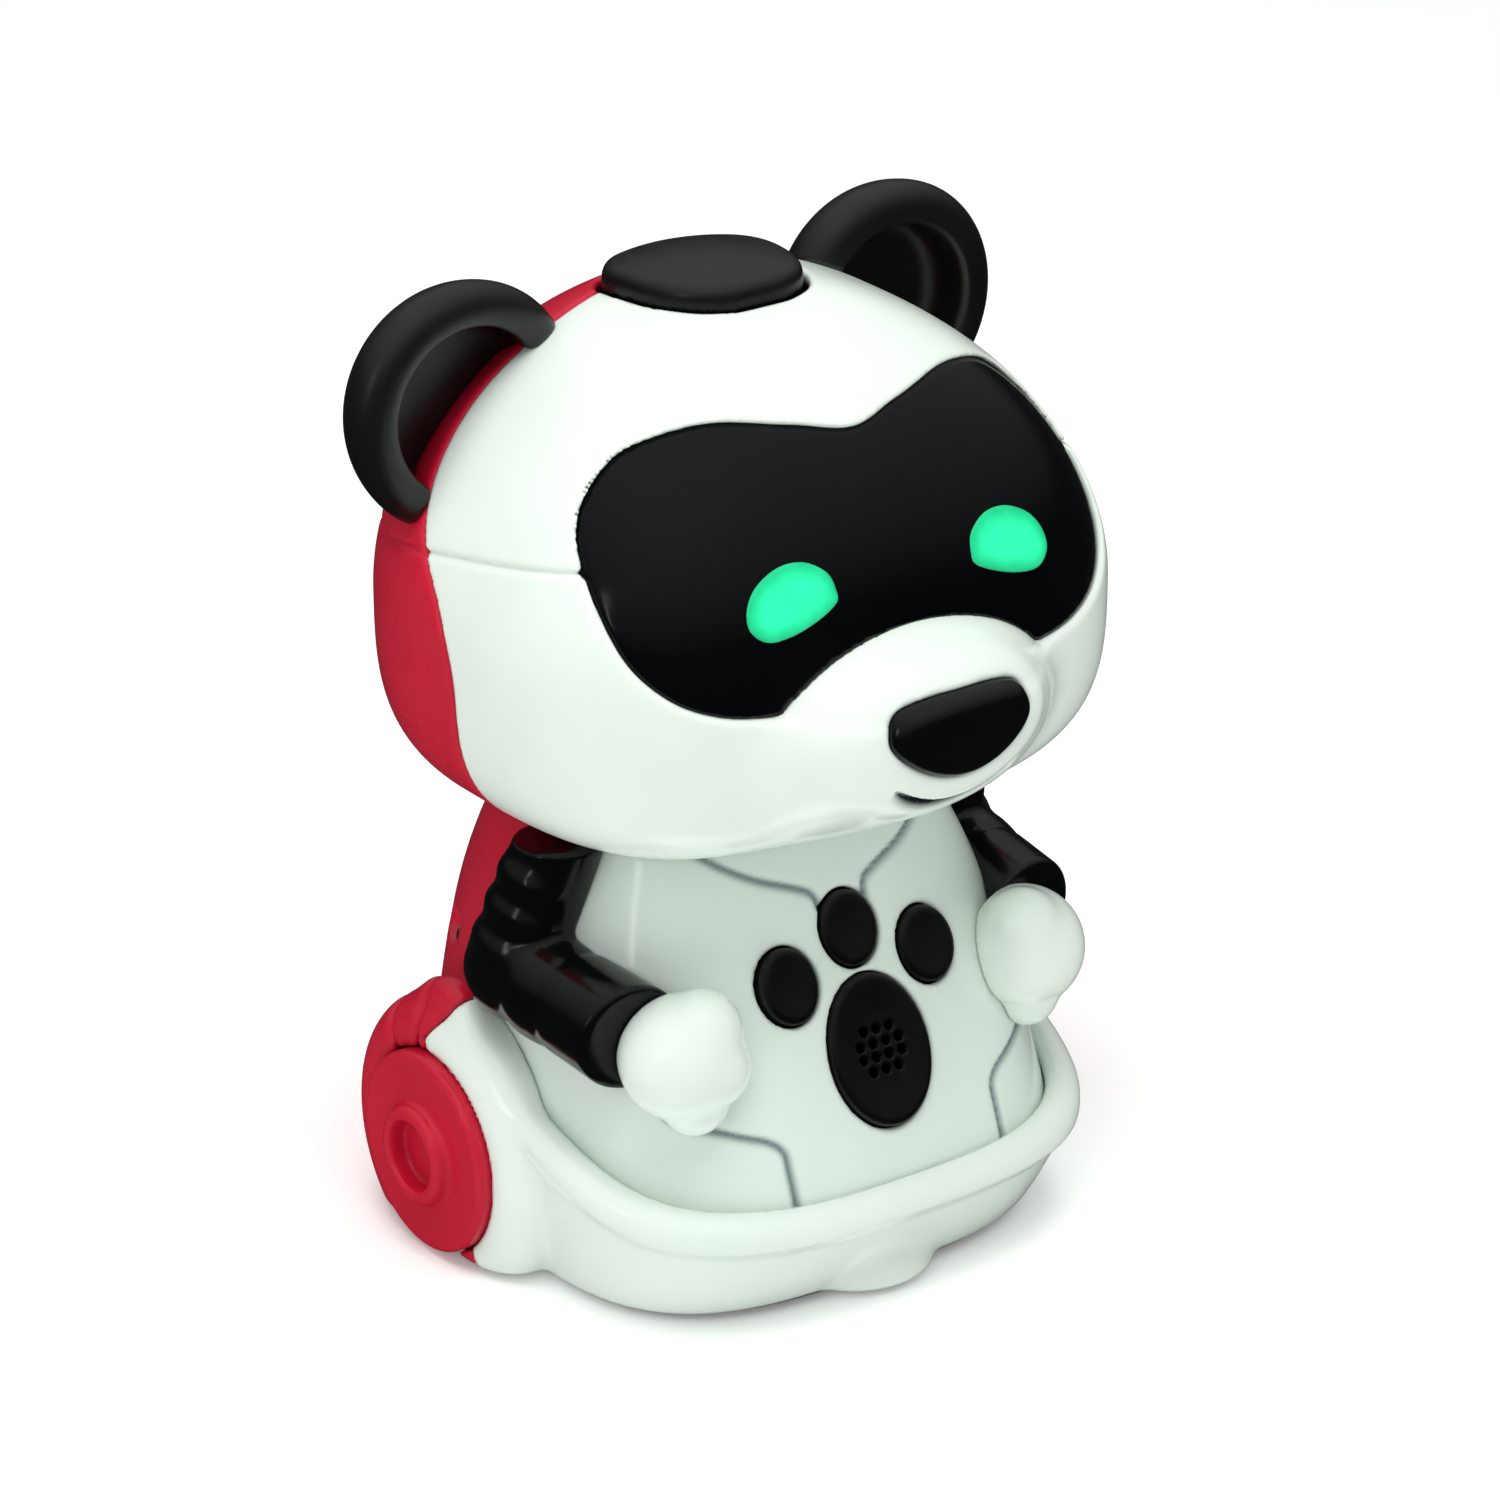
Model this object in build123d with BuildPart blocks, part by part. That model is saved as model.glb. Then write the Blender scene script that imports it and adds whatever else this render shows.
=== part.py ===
from build123d import *
import os
from math import cos, pi, radians, sin

# Panda-shaped two-wheeled robot.  Millimetres.
# Origin: on the floor under the middle of the robot.  +Z is up, the face looks along -Y,
# and +X is the robot's own left-hand side.

# ---------------------------------------------------------------- driving dimensions
WALL = 2.2                # wall of the head, torso and base mouldings
SKIN_GAP = 0.15           # gap between mouldings that meet
BUTTON_GAP = 0.4          # gap round the sprung buttons

# Head: a rounded form, boxier at the front and flatter below.
HEAD_HALF_WIDTH = 55.0
HEAD_Y = 9.0
HEAD_FRONT = 53.0
HEAD_BACK = 48.0
HEAD_Z = 107.5
HEAD_UP = 48.8
HEAD_DOWN = 34.3
HEAD_PLAN_FRONT = 3.3     # exponents of the superellipses
HEAD_PLAN_BACK = 2.0
HEAD_SIDE_UP = 1.92
HEAD_SIDE_DOWN = 3.4
HEAD_LEVELS = (-0.985, -0.94, -0.8, -0.55, -0.2, 0.2, 0.5, 0.72, 0.88, 0.97)
CROWN_SEAM_Z = 121.5      # height of the seam round the head, at HEAD_Y
CROWN_SEAM_TILT = 9.4     # degrees, rising to the front

NECK_RADIUS = 18.0
NECK_Y = 8.5

# Torso: (height, half width, front, back) of its sections, measured from TORSO_Y.
TORSO_Y = 8.5
TORSO_SECTIONS = (
    (18.6, 45.0, 52.2, 42.0),
    (30.5, 43.5, 47.8, 42.0),
    (45.5, 41.0, 41.8, 40.5),
    (58.5, 37.5, 35.6, 38.0),
    (72.9, 31.5, 28.5, 33.0),
)
TORSO_PLAN_FRONT = 3.0
TORSO_PLAN_BACK = 2.3
TORSO_SPLIT_Y = 3.0

# Base: a boat-like skirt below a rim, with a round fender over each wheel.
BASE_Y = 2.0
BASE_BOTTOM_Z = 1.2
SKIRT_TOP_Z = 13.5
SKIRT_BOTTOM = (43.0, 40.0, 45.0)     # half width, front, back
SKIRT_TOP = (46.0, 46.6, 47.5)
RIM = (47.6, 48.8, 48.5)
BASE_PLAN = 3.2
RIM_TOP = ((-48, 20.5), (-30, 24.0), (-15, 28.0), (-2, 32.5), (5, 40.0), (10, 45.0), (16, 46.0),
           (23, 42.5), (31, 34.5), (39, 25.0), (46, 17.0), (52, 14.0))
FENDER_RADIUS = 25.0
FENDER_INNER_X = 37.0
FENDER_OUTER_X = 49.2
FENDER_EDGE = 6.0

# Running gear.
AXLE_Y = 15.1
AXLE_Z = 17.3
AXLE_RADIUS = 1.5
TYRE_RADIUS = 17.3
TYRE_INNER_RADIUS = 14.6
TYRE_X = (45.9, 49.0)
DISC_RADIUS = 16.65
DISC_X = (49.5, 52.7)
HUB_X = 54.2
HUB_RING_RADIUS = 8.0
HUB_RECESS_RADIUS = 6.0
HUB_BOSS_RADIUS = 4.0
HUB_BOSS_X = 40.5
RUNNING_GAP = 0.05        # radial clearance of a shaft in its bush

GEAR_MODULE = 0.6
WHEEL_TEETH = 30
PINION_TEETH = 10
MESH = GEAR_MODULE * (WHEEL_TEETH + PINION_TEETH) / 2 + 0.1
IDLER_ANGLE = 95.0        # from the axle up to the idler, measured from +Y
MOTOR_ANGLE = 170.0       # from the idler forward to the motor
IDLER_Y = AXLE_Y + MESH * cos(radians(IDLER_ANGLE))
IDLER_Z = AXLE_Z + MESH * sin(radians(IDLER_ANGLE))
MOTOR_Y = IDLER_Y + MESH * cos(radians(MOTOR_ANGLE))
MOTOR_Z = IDLER_Z + MESH * sin(radians(MOTOR_ANGLE))
GEAR_X = (28.6, 31.6)     # axle gear and the idler's small gear
FAST_X = (32.2, 35.2)     # idler's big gear and the motor pinion
PLATE_X = ((26.2, 28.2), (35.6, 37.6))

CELL_RADIUS = 5.25        # AAA cell
CELL_LENGTH = 44.5
CELL_PITCH = 10.8
CELL_Y0 = -13.4
CELL_Z = 10.2
CELL_COUNT = 4

BALL_RADIUS = 6.0
BALL_Y = -30.5

# Face.
NOSE_FRONT_Y = -57.0
EYE_X = 20.8
EYE_Z = 122.2
EAR_X = 40.5
EAR_Z = 140.0
EAR_RADIUS = 20.0
EAR_FRONT_Y = 14.0
EAR_BACK_Y = 28.0
EAR_CUP_RADIUS = 13.2
EAR_CUP_DEPTH = 8.5

# Chest: the sloping face carries three toe buttons and the speaker pad.
CHEST_LEAN = 25.5         # degrees from upright, leaning back
CHEST_POINT = (0.0, -35.1, 40.3)      # middle of the speaker pad
TOES = {"left": (13.3, 13.6), "middle": (0.0, 19.6), "right": (-13.3, 13.6)}
TOE_HALF = (5.2, 6.1)
PAD_HALF = (9.3, 12.2)
HOLE_PITCH = 2.45
HOLE_RADIUS = 0.75

os.makedirs("parts", exist_ok=True)


def save(builder, name):
    """Label the finished piece and write its own STEP file."""
    builder.part.label = name
    export_step(builder.part, f"parts/{name}.step")


def oval(half_width, front, back, n_front, n_back, centre_y, count=20):
    """Points round a superellipse with its own depth and exponent front and back."""
    points = []
    for index in range(count):
        angle = 2 * pi * (index + 0.5) / count
        depth, n = (back, n_back) if sin(angle) > 0 else (front, n_front)
        x = half_width * abs(cos(angle)) ** (2 / n)
        y = depth * abs(sin(angle)) ** (2 / n)
        points.append((x if cos(angle) > 0 else -x, centre_y + (y if sin(angle) > 0 else -y)))
    return points


def stack(sections):
    """Solid lofted through closed outlines, given as (height, points)."""
    with BuildPart() as body:
        for height, points in sections:
            with BuildSketch(Plane.XY.offset(height)):
                with BuildLine():
                    Spline(*points, periodic=True)
                make_face()
        loft()
    return body.part


def head_volume(inset):
    """The closed head form, drawn in by inset."""
    sections = []
    for level in HEAD_LEVELS:
        reach = (HEAD_UP if level > 0 else HEAD_DOWN) - inset
        n = HEAD_SIDE_UP if level > 0 else HEAD_SIDE_DOWN
        shrink = (1 - abs(level) ** n) ** (1 / n)
        outline = oval((HEAD_HALF_WIDTH - inset) * shrink, (HEAD_FRONT - inset) * shrink,
                       (HEAD_BACK - inset) * shrink, HEAD_PLAN_FRONT, HEAD_PLAN_BACK, HEAD_Y)
        sections.append((HEAD_Z + level * reach, outline))
    return stack(sections)


def torso_volume(inset):
    """The closed torso form, drawn in by inset; a negative inset makes it larger."""
    sections = []
    for height, half_width, front, back in TORSO_SECTIONS:
        outline = oval(half_width - inset, front - inset, back - inset,
                       TORSO_PLAN_FRONT, TORSO_PLAN_BACK, TORSO_Y)
        sections.append((height, outline))
    height, outline = sections[-1]
    sections[-1] = (height - inset, outline)
    return stack(sections)


def fender_volume(side_x, inset):
    """Drum round one wheel with a rounded outer edge, drawn in by inset."""
    with BuildPart() as drum:
        with BuildSketch(Plane.YZ.offset(side_x * FENDER_INNER_X)):
            with Locations((AXLE_Y, AXLE_Z)):
                Circle(FENDER_RADIUS - inset)
        extrude(amount=side_x * (FENDER_OUTER_X - inset - FENDER_INNER_X))
        outer_edge = drum.edges().filter_by(GeomType.CIRCLE).sort_by(Axis.X)[-1 if side_x > 0 else 0]
        fillet(outer_edge, FENDER_EDGE - inset)
    return drum.part


def base_volume(inset):
    """Skirt, rim and fenders as one closed form, drawn in by inset."""
    low = BASE_BOTTOM_Z - (1.0 if inset else 0.0)
    flare = stack([
        (low, oval(*[size - inset for size in SKIRT_BOTTOM], BASE_PLAN, BASE_PLAN, BASE_Y)),
        (SKIRT_TOP_Z, oval(*[size - inset for size in SKIRT_TOP], BASE_PLAN, BASE_PLAN, BASE_Y)),
    ])
    with BuildPart() as body:
        with BuildSketch(Plane.XY.offset(SKIRT_TOP_Z)):
            with BuildLine():
                Spline(*oval(*[size - inset for size in RIM], BASE_PLAN, BASE_PLAN, BASE_Y),
                       periodic=True)
            make_face()
        extrude(amount=40)
        with BuildSketch(Plane.YZ) as side:
            with BuildLine():
                Spline(*[(y, z - inset) for y, z in RIM_TOP])
                Polyline((RIM_TOP[-1][0], RIM_TOP[-1][1] - inset), (RIM_TOP[-1][0], 0),
                         (RIM_TOP[0][0], 0), (RIM_TOP[0][0], RIM_TOP[0][1] - inset))
            make_face()
        extrude(amount=60, both=True, mode=Mode.INTERSECT)
        add(flare)
        for side_x in (1, -1):
            add(fender_volume(side_x, inset))
        with BuildSketch(Plane.XY.offset(low)):
            Rectangle(200, 200)
        extrude(amount=-60, mode=Mode.SUBTRACT)
    return body.part


def prism_x(points):
    """Side-view outline in Y and Z, carried across the whole width."""
    with BuildPart() as body:
        with BuildSketch(Plane.YZ):
            with BuildLine():
                Polyline(*points, close=True)
            make_face()
        extrude(amount=90, both=True)
    return body.part


CHEST = Plane(origin=CHEST_POINT, x_dir=(1, 0, 0),
              z_dir=(0, -cos(radians(CHEST_LEAN)), sin(radians(CHEST_LEAN))))

head_outer = head_volume(0)
head_inner = head_volume(WALL)
torso_outer = torso_volume(0)
torso_inner = torso_volume(WALL)
base_outer = base_volume(0)
base_inner = base_volume(WALL)

HEAD_REAR = prism_x([(14.3, 170), (14.3, 134), (10.5, 122), (3.5, 114), (0, 104), (0, 60),
                     (90, 60), (90, 170)])
BODY_REAR = prism_x([(TORSO_SPLIT_Y, 80), (TORSO_SPLIT_Y, 50), (10, 45), (17, 36), (3, 0),
                     (90, 0), (90, 80)])
CROWN_SEAM = Plane(origin=(0, HEAD_Y, CROWN_SEAM_Z), x_dir=(1, 0, 0),
                   z_dir=(0, sin(radians(CROWN_SEAM_TILT)), cos(radians(CROWN_SEAM_TILT))))


# ---------------------------------------------------------------- face outlines
def visor_outline(grow):
    """Goggle-shaped outline of the visor in front view, made larger by grow."""
    half = [(0, 141.2 + grow), (10, 143.0 + grow), (22, 144.5 + grow), (32.5 + grow / 2, 142.0 + grow),
            (39.8 + grow, 136.5 + grow / 2), (44.3 + grow, 130), (45.8 + grow, 122.5),
            (44.5 + grow, 115.0), (40.0 + grow, 109.6 - grow / 2), (33.5, 107.0 - grow),
            (27, 106.2 - grow), (19, 108.5 - grow), (9, 112.5 - grow), (0, 113.6 - grow)]
    with BuildPart() as body:
        with BuildSketch(Plane.XZ):
            with BuildLine() as edge:
                Spline(*half, tangents=((1, 0), (-1, 0)))
                mirror(edge.line, about=Plane.YZ)
            make_face()
        extrude(amount=80)
    return body.part


def muzzle_volume(inset):
    """The bulge of the muzzle, drawn in by inset."""
    rings = ((-30, 29, 97.0, 17.5), (-44, 24, 98.0, 15.8), (-51, 18.5, 99.3, 12.8),
             (-54.6, 14.5, 100.6, 9.6))
    with BuildPart() as body:
        for y, half_width, z, half_height in rings:
            with BuildSketch(Plane.XZ.offset(-y - inset)):
                with Locations((0, z)):
                    Ellipse(half_width - inset, half_height - inset)
        loft()
    return body.part


def eye_outline(side_x, grow):
    """One lit eye window: a dome above a lower edge that slants down and out."""
    with BuildPart() as body:
        with BuildSketch(Plane.XZ):
            with BuildLine():
                start = (side_x * (12.6 - grow), 121.8 - grow)
                end = (side_x * (27.0 + grow), 116.4 - grow)
                ThreePointArc(start, (side_x * 20.4, 117.4 - grow), end)
                ThreePointArc(end, (side_x * 20.6, 127.6 + grow), start)
            make_face()
        extrude(amount=80)
    return body.part


visor_hole = visor_outline(BUTTON_GAP)
muzzle_outer = muzzle_volume(0)
muzzle_inner = muzzle_volume(WALL)


# ---------------------------------------------------------------- head mouldings
# Screws go in from behind: (x, z, y of the seat under the screw's head).
HEAD_SCREWS = ((-45.0, 100.0, 29.5), (45.0, 100.0, 29.5), (-22.0, 134.0, 37.0), (22.0, 134.0, 37.0))
TORSO_SCREWS = ((-35.5, 47.0, 24.5), (35.5, 47.0, 24.5))
BOSS_RADIUS = 4.4
WELL_RADIUS = 3.2
SCREW_HEAD = (2.6, 1.6)
SCREW_SHANK = (1.3, 8.0)


def screw_bosses(screws, shell):
    """Bosses that carry the screws, trimmed to the outside of their shell."""
    with BuildPart() as bosses:
        for x, z, seat in screws:
            with BuildSketch(Plane.XZ.offset(-(seat - 6))):
                with Locations((x, z)):
                    Circle(BOSS_RADIUS)
            extrude(amount=-40)
        add(shell, mode=Mode.INTERSECT)
    return bosses.part


def screw_wells(screws):
    """Wells down to each screw's head, and the hole for its shank."""
    with BuildPart() as wells:
        for x, z, seat in screws:
            with BuildSketch(Plane.XZ.offset(-seat)):
                with Locations((x, z)):
                    Circle(WELL_RADIUS)
            extrude(amount=-40)
            with BuildSketch(Plane.XZ.offset(-(seat - 10))):
                with Locations((x, z)):
                    Circle(SCREW_SHANK[0] + 0.05)
            extrude(amount=-12)
    return wells.part


def screw_group(name, screws):
    """Cross-head screws, seated in their wells, as one group of separate solids."""
    with BuildPart() as group:
        for x, z, seat in screws:
            with BuildSketch(Plane.XZ.offset(-seat)):
                with Locations((x, z)):
                    Circle(SCREW_HEAD[0])
            extrude(amount=-SCREW_HEAD[1])
            with BuildSketch(Plane.XZ.offset(-seat)):
                with Locations((x, z)):
                    Circle(SCREW_SHANK[0])
            extrude(amount=SCREW_SHANK[1])
            with BuildSketch(Plane.XZ.offset(-(seat + SCREW_HEAD[1]))):
                with Locations((x, z)):
                    Rectangle(3.2, 0.7)
                    Rectangle(0.7, 3.2)
            extrude(amount=1.0, mode=Mode.SUBTRACT)
    save(group, name)


def head_piece(name, front, upper):
    """One quarter of the head shell, cut out of the whole shell by its two seams."""
    with BuildPart() as piece:
        add(head_outer)
        if front:
            add(muzzle_outer)
        add(head_inner, mode=Mode.SUBTRACT)
        if front:
            add(muzzle_inner, mode=Mode.SUBTRACT)
        add(HEAD_REAR, mode=Mode.SUBTRACT if front else Mode.INTERSECT)
        split(bisect_by=CROWN_SEAM, keep=Keep.TOP if upper else Keep.BOTTOM)
        if front:
            with BuildPart(mode=Mode.PRIVATE) as opening:
                add(visor_hole)
                add(muzzle_outer, mode=Mode.SUBTRACT)
            add(opening.part, mode=Mode.SUBTRACT)
        if upper:
            add(crown_well, mode=Mode.SUBTRACT)
        else:
            with BuildSketch(Plane.XY.offset(60)):
                with Locations((0, NECK_Y)):
                    Circle(NECK_RADIUS)
            extrude(amount=25, mode=Mode.SUBTRACT)
        if not front:
            screws = [screw for screw in HEAD_SCREWS if (screw[1] > CROWN_SEAM_Z) == upper]
            add(screw_bosses(screws, head_outer))
            add(screw_wells(screws), mode=Mode.SUBTRACT)
    save(piece, name)


# The crown button's well goes through the top of the head, across the white and red shells.
CROWN_Z = 152.0
CROWN_Y = 9.0
CROWN_TOP_Z = 161.0


def crown_outline(grow):
    """Egg-shaped outline of the crown button with its narrow end forward."""
    half = [(0, -4.0 - grow), (8.5 + grow, 0.0), (15.6 + grow, 12.0), (10.5 + grow, 22.5 + grow),
            (0, 25.5 + grow)]
    with BuildLine() as edge:
        Spline(*half, tangents=((1, 0), (-1, 0)))
        mirror(edge.line, about=Plane.YZ)
    return edge.line


with BuildPart() as crown_well_body:
    with BuildSketch(Plane.XY.offset(CROWN_Z - 12)):
        add(crown_outline(BUTTON_GAP))
        make_face()
    extrude(amount=40)
crown_well = crown_well_body.part

head_piece("head_front_upper", True, True)
head_piece("head_front_lower", True, False)
head_piece("head_back_upper", False, True)
head_piece("head_back_lower", False, False)

with BuildPart() as face_visor:
    add(head_volume(0.8))
    add(visor_outline(0), mode=Mode.INTERSECT)
    add(head_volume(WALL + 0.8), mode=Mode.SUBTRACT)
    add(muzzle_volume(-SKIN_GAP), mode=Mode.SUBTRACT)
    for side_x in (1, -1):
        add(eye_outline(side_x, SKIN_GAP), mode=Mode.SUBTRACT)
save(face_visor, "face_visor")

for side, side_x in (("left", 1), ("right", -1)):
    with BuildPart() as eye:
        add(head_volume(0.9))
        add(eye_outline(side_x, 0), mode=Mode.INTERSECT)
        add(head_volume(WALL + 0.6), mode=Mode.SUBTRACT)
    save(eye, f"eye_{side}")

with BuildPart() as nose_cap:
    with BuildSketch(Plane.XZ.offset(54.8)):
        with BuildLine() as nose_edge:
            Spline((0, 94.4), (8, 96.6), (12.4, 102.9), (9.8, 108.2), (0, 109.2),
                   tangents=((1, 0), (-1, 0)))
            mirror(nose_edge.line, about=Plane.YZ)
        make_face()
    extrude(amount=-NOSE_FRONT_Y - 54.8)
    fillet(nose_cap.edges().group_by(Axis.Y)[0], 1.2)
save(nose_cap, "nose_cap")

for side, side_x in (("left", 1), ("right", -1)):
    with BuildPart() as ear:
        with BuildSketch(Plane.XZ.offset(-EAR_FRONT_Y)):
            with Locations((side_x * EAR_X, EAR_Z)):
                Circle(EAR_RADIUS)
        extrude(amount=-(EAR_BACK_Y - EAR_FRONT_Y))
        fillet(ear.edges().group_by(Axis.Y)[-1], 9)
        fillet(ear.edges().group_by(Axis.Y)[0], 3)
        with BuildSketch(Plane.XZ.offset(-EAR_FRONT_Y)):
            with Locations((side_x * EAR_X, EAR_Z)):
                Circle(EAR_CUP_RADIUS)
        extrude(amount=-EAR_CUP_DEPTH, mode=Mode.SUBTRACT)
        add(head_volume(-SKIN_GAP), mode=Mode.SUBTRACT)
    save(ear, f"ear_{side}")

with BuildPart() as crown_button:
    with BuildSketch(Plane.XY.offset(CROWN_Z)):
        add(crown_outline(0))
        make_face()
    extrude(amount=CROWN_TOP_Z - CROWN_Z)
    fillet(crown_button.edges().group_by(Axis.Z)[-1], 3.0)
    with BuildSketch(Plane.XY.offset(CROWN_Z)):
        with Locations((0, CROWN_Y)):
            Circle(3.0)
    extrude(amount=-3.0)
save(crown_button, "crown_button")

# The crown button presses a tact switch on a small board hung under the top of the head.
CROWN_BOARD_Z = CROWN_Z - 12.0
with BuildPart() as crown_switch:
    with BuildSketch(Plane.XY.offset(CROWN_BOARD_Z)):
        with Locations((0, CROWN_Y)):
            Rectangle(22, 16)
    extrude(amount=1.6)
    with BuildSketch(Plane.XY.offset(CROWN_BOARD_Z + 1.6)):
        with Locations((0, CROWN_Y)):
            Rectangle(6, 6)
    extrude(amount=3.6)
    with BuildSketch(Plane.XY.offset(CROWN_BOARD_Z + 5.2)):
        with Locations((0, CROWN_Y)):
            Circle(1.7)
    extrude(amount=2.0)
save(crown_switch, "crown_switch")

# Behind the visor: a board with one light under each eye window.
EYE_BOARD_Y = -27.0
with BuildPart() as eye_board:
    with BuildSketch(Plane.XZ.offset(-EYE_BOARD_Y)):
        with Locations((0, EYE_Z + 1)):
            RectangleRounded(62, 16, 2)
    extrude(amount=-1.6)
save(eye_board, "eye_board")

with BuildPart() as eye_lights:
    with BuildSketch(Plane.XZ.offset(-EYE_BOARD_Y)):
        with Locations((EYE_X, EYE_Z), (-EYE_X, EYE_Z)):
            Circle(2.5)
    extrude(amount=5.0)
    fillet(eye_lights.edges().group_by(Axis.Y)[0], 2.3)
save(eye_lights, "eye_lights")

with BuildPart() as neck_collar:
    with BuildSketch(Plane.XY.offset(68)):
        with Locations((0, NECK_Y)):
            Circle(NECK_RADIUS - SKIN_GAP)
            Circle(NECK_RADIUS - 3, mode=Mode.SUBTRACT)
    extrude(amount=14)
save(neck_collar, "neck_collar")


screw_group("head_screws", HEAD_SCREWS)

# ---------------------------------------------------------------- torso
torso_gap = torso_volume(-SKIN_GAP)

# Space for each wheel: its tyre, its hub and the open arch below the axle.
with BuildPart() as wheel_well:
    for side_x in (1, -1):
        with BuildSketch(Plane.YZ.offset(side_x * (TYRE_X[0] - 0.5))):
            with Locations((AXLE_Y, AXLE_Z)):
                Circle(TYRE_RADIUS + 0.9)
        extrude(amount=side_x * 20)
        with BuildSketch(Plane.YZ.offset(side_x * 30)):
            with Locations((AXLE_Y, AXLE_Z)):
                Circle(HUB_BOSS_RADIUS + 0.8)
        extrude(amount=side_x * 20)
        with BuildSketch(Plane.XY.offset(-1)):
            with Locations((side_x * (TYRE_X[0] + 9.5), AXLE_Y)):
                Rectangle(20, 2 * TYRE_RADIUS + 1.8)
        extrude(amount=AXLE_Z + 1)


with BuildPart() as toe_holes:
    for x, v in TOES.values():
        with BuildSketch(CHEST.offset(-8)):
            with Locations((x, v)):
                Ellipse(TOE_HALF[0] + BUTTON_GAP, TOE_HALF[1] + BUTTON_GAP)
        extrude(amount=20)
with BuildPart() as pad_hole:
    with BuildSketch(CHEST.offset(-8)):
        Ellipse(PAD_HALF[0] + SKIN_GAP, PAD_HALF[1] + SKIN_GAP)
    extrude(amount=20)

for name, front in (("torso_front", True), ("torso_back", False)):
    with BuildPart() as torso:
        add(torso_outer)
        add(torso_inner, mode=Mode.SUBTRACT)
        add(BODY_REAR, mode=Mode.SUBTRACT if front else Mode.INTERSECT)
        with BuildSketch(Plane.XY.offset(60)):
            with Locations((0, NECK_Y)):
                Circle(NECK_RADIUS)
        extrude(amount=20, mode=Mode.SUBTRACT)
        if front:
            add(toe_holes.part, mode=Mode.SUBTRACT)
            add(pad_hole.part, mode=Mode.SUBTRACT)
        else:
            add(screw_bosses(TORSO_SCREWS, torso_outer))
            add(screw_wells(TORSO_SCREWS), mode=Mode.SUBTRACT)
        add(wheel_well.part, mode=Mode.SUBTRACT)
    save(torso, name)

screw_group("torso_screws", TORSO_SCREWS)

with BuildPart() as speaker_pad:
    with BuildSketch(CHEST.offset(-2.4)):
        Ellipse(*PAD_HALF)
    extrude(amount=4.0)
    fillet(speaker_pad.edges().filter_by(GeomType.ELLIPSE).sort_by(Axis.Y)[0], 0.8)
    with BuildSketch(CHEST.offset(-3)):
        for row, holes in enumerate((3, 4, 4, 3)):
            with Locations((0, (1.5 - row) * HOLE_PITCH * 0.87)):
                with GridLocations(HOLE_PITCH, 1, holes, 1):
                    Circle(HOLE_RADIUS)
    extrude(amount=8, mode=Mode.SUBTRACT)
save(speaker_pad, "speaker_pad")

for side, (x, v) in TOES.items():
    with BuildPart() as toe:
        with BuildSketch(CHEST.offset(-3.0)):
            with Locations((x, v)):
                Ellipse(*TOE_HALF)
        extrude(amount=4.6)
        fillet(toe.edges().sort_by(Axis.Y)[0], 0.8)
        with BuildSketch(CHEST.offset(-3.0)):
            with Locations((x, v)):
                Circle(1.6)
        extrude(amount=-1.4)
    save(toe, f"toe_button_{side}")

with BuildPart() as keypad_board:
    with BuildSketch(CHEST.offset(-9.2)):
        with Locations((0, 15.4)):
            RectangleRounded(40, 20, 2)
    extrude(amount=1.6)
save(keypad_board, "keypad_board")

with BuildPart() as keypad_domes:
    for x, v in TOES.values():
        with BuildSketch(CHEST.offset(-7.6)):
            with Locations((x, v)):
                Circle(3.0)
        extrude(amount=1.5, taper=25)
save(keypad_domes, "keypad_domes")

with BuildPart() as speaker_driver:
    with BuildSketch(CHEST.offset(-4.8)):
        with Locations((0, -1.5)):
            Circle(10.0)
    extrude(amount=-2.4)
    with BuildSketch(CHEST.offset(-7.2)):
        with Locations((0, -1.5)):
            Circle(6.0)
    extrude(amount=-3.0)
save(speaker_driver, "speaker_driver")

with BuildPart() as main_board:
    with BuildSketch(Plane.XY.offset(42)):
        with Locations((0, 16)):
            RectangleRounded(46, 34, 2)
    extrude(amount=1.6)
    with BuildSketch(Plane.XY.offset(43.6)):
        with Locations((-8, 14), (10, 20)):
            Rectangle(9, 7)
    extrude(amount=1.4)
save(main_board, "main_board")

# ---------------------------------------------------------------- arms
# The arm leaves the shoulder, turns forward at the elbow and ends in a closed hand.
SHOULDER = (35.5, 0.0, 73.0)
ELBOW = (43.5, 4.5, 50.0)
WRIST = (39.5, -24.0, 49.0)
HAND = (36.0, -33.5, 49.5)
ARM_RADIUS = 8.6

for side, side_x in (("left", 1), ("right", -1)):
    points = [(side_x * x, y, z) for x, y, z in (SHOULDER, ELBOW, WRIST)]
    with BuildPart() as arm:
        with BuildLine() as arm_path:
            FilletPolyline(*points, radius=9.5)
        with BuildSketch(Plane(origin=points[0], z_dir=arm_path.line % 0)):
            Circle(ARM_RADIUS)
        sweep(path=arm_path.line)
        with Locations(points[0]):
            Sphere(ARM_RADIUS + 0.4)
        with BuildSketch(Plane.XY.offset(73.2)):
            Rectangle(200, 200)
        extrude(amount=30, mode=Mode.SUBTRACT)
        add(torso_gap, mode=Mode.SUBTRACT)
    save(arm, f"arm_{side}")
    with BuildPart() as hand:
        with Locations((side_x * HAND[0], HAND[1], HAND[2])):
            Sphere(11.2)
        with BuildSketch(Plane(origin=points[2], z_dir=arm_path.line % 1)):
            Circle(20)
        extrude(amount=-30, mode=Mode.SUBTRACT)
        add(torso_gap, mode=Mode.SUBTRACT)
    save(hand, f"hand_{side}")

# ---------------------------------------------------------------- base mouldings
with BuildPart() as caster_pocket:
    with BuildSketch(Plane.XY.offset(-1)):
        with Locations((0, BALL_Y)):
            Circle(7.4)
    extrude(amount=16)

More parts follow.
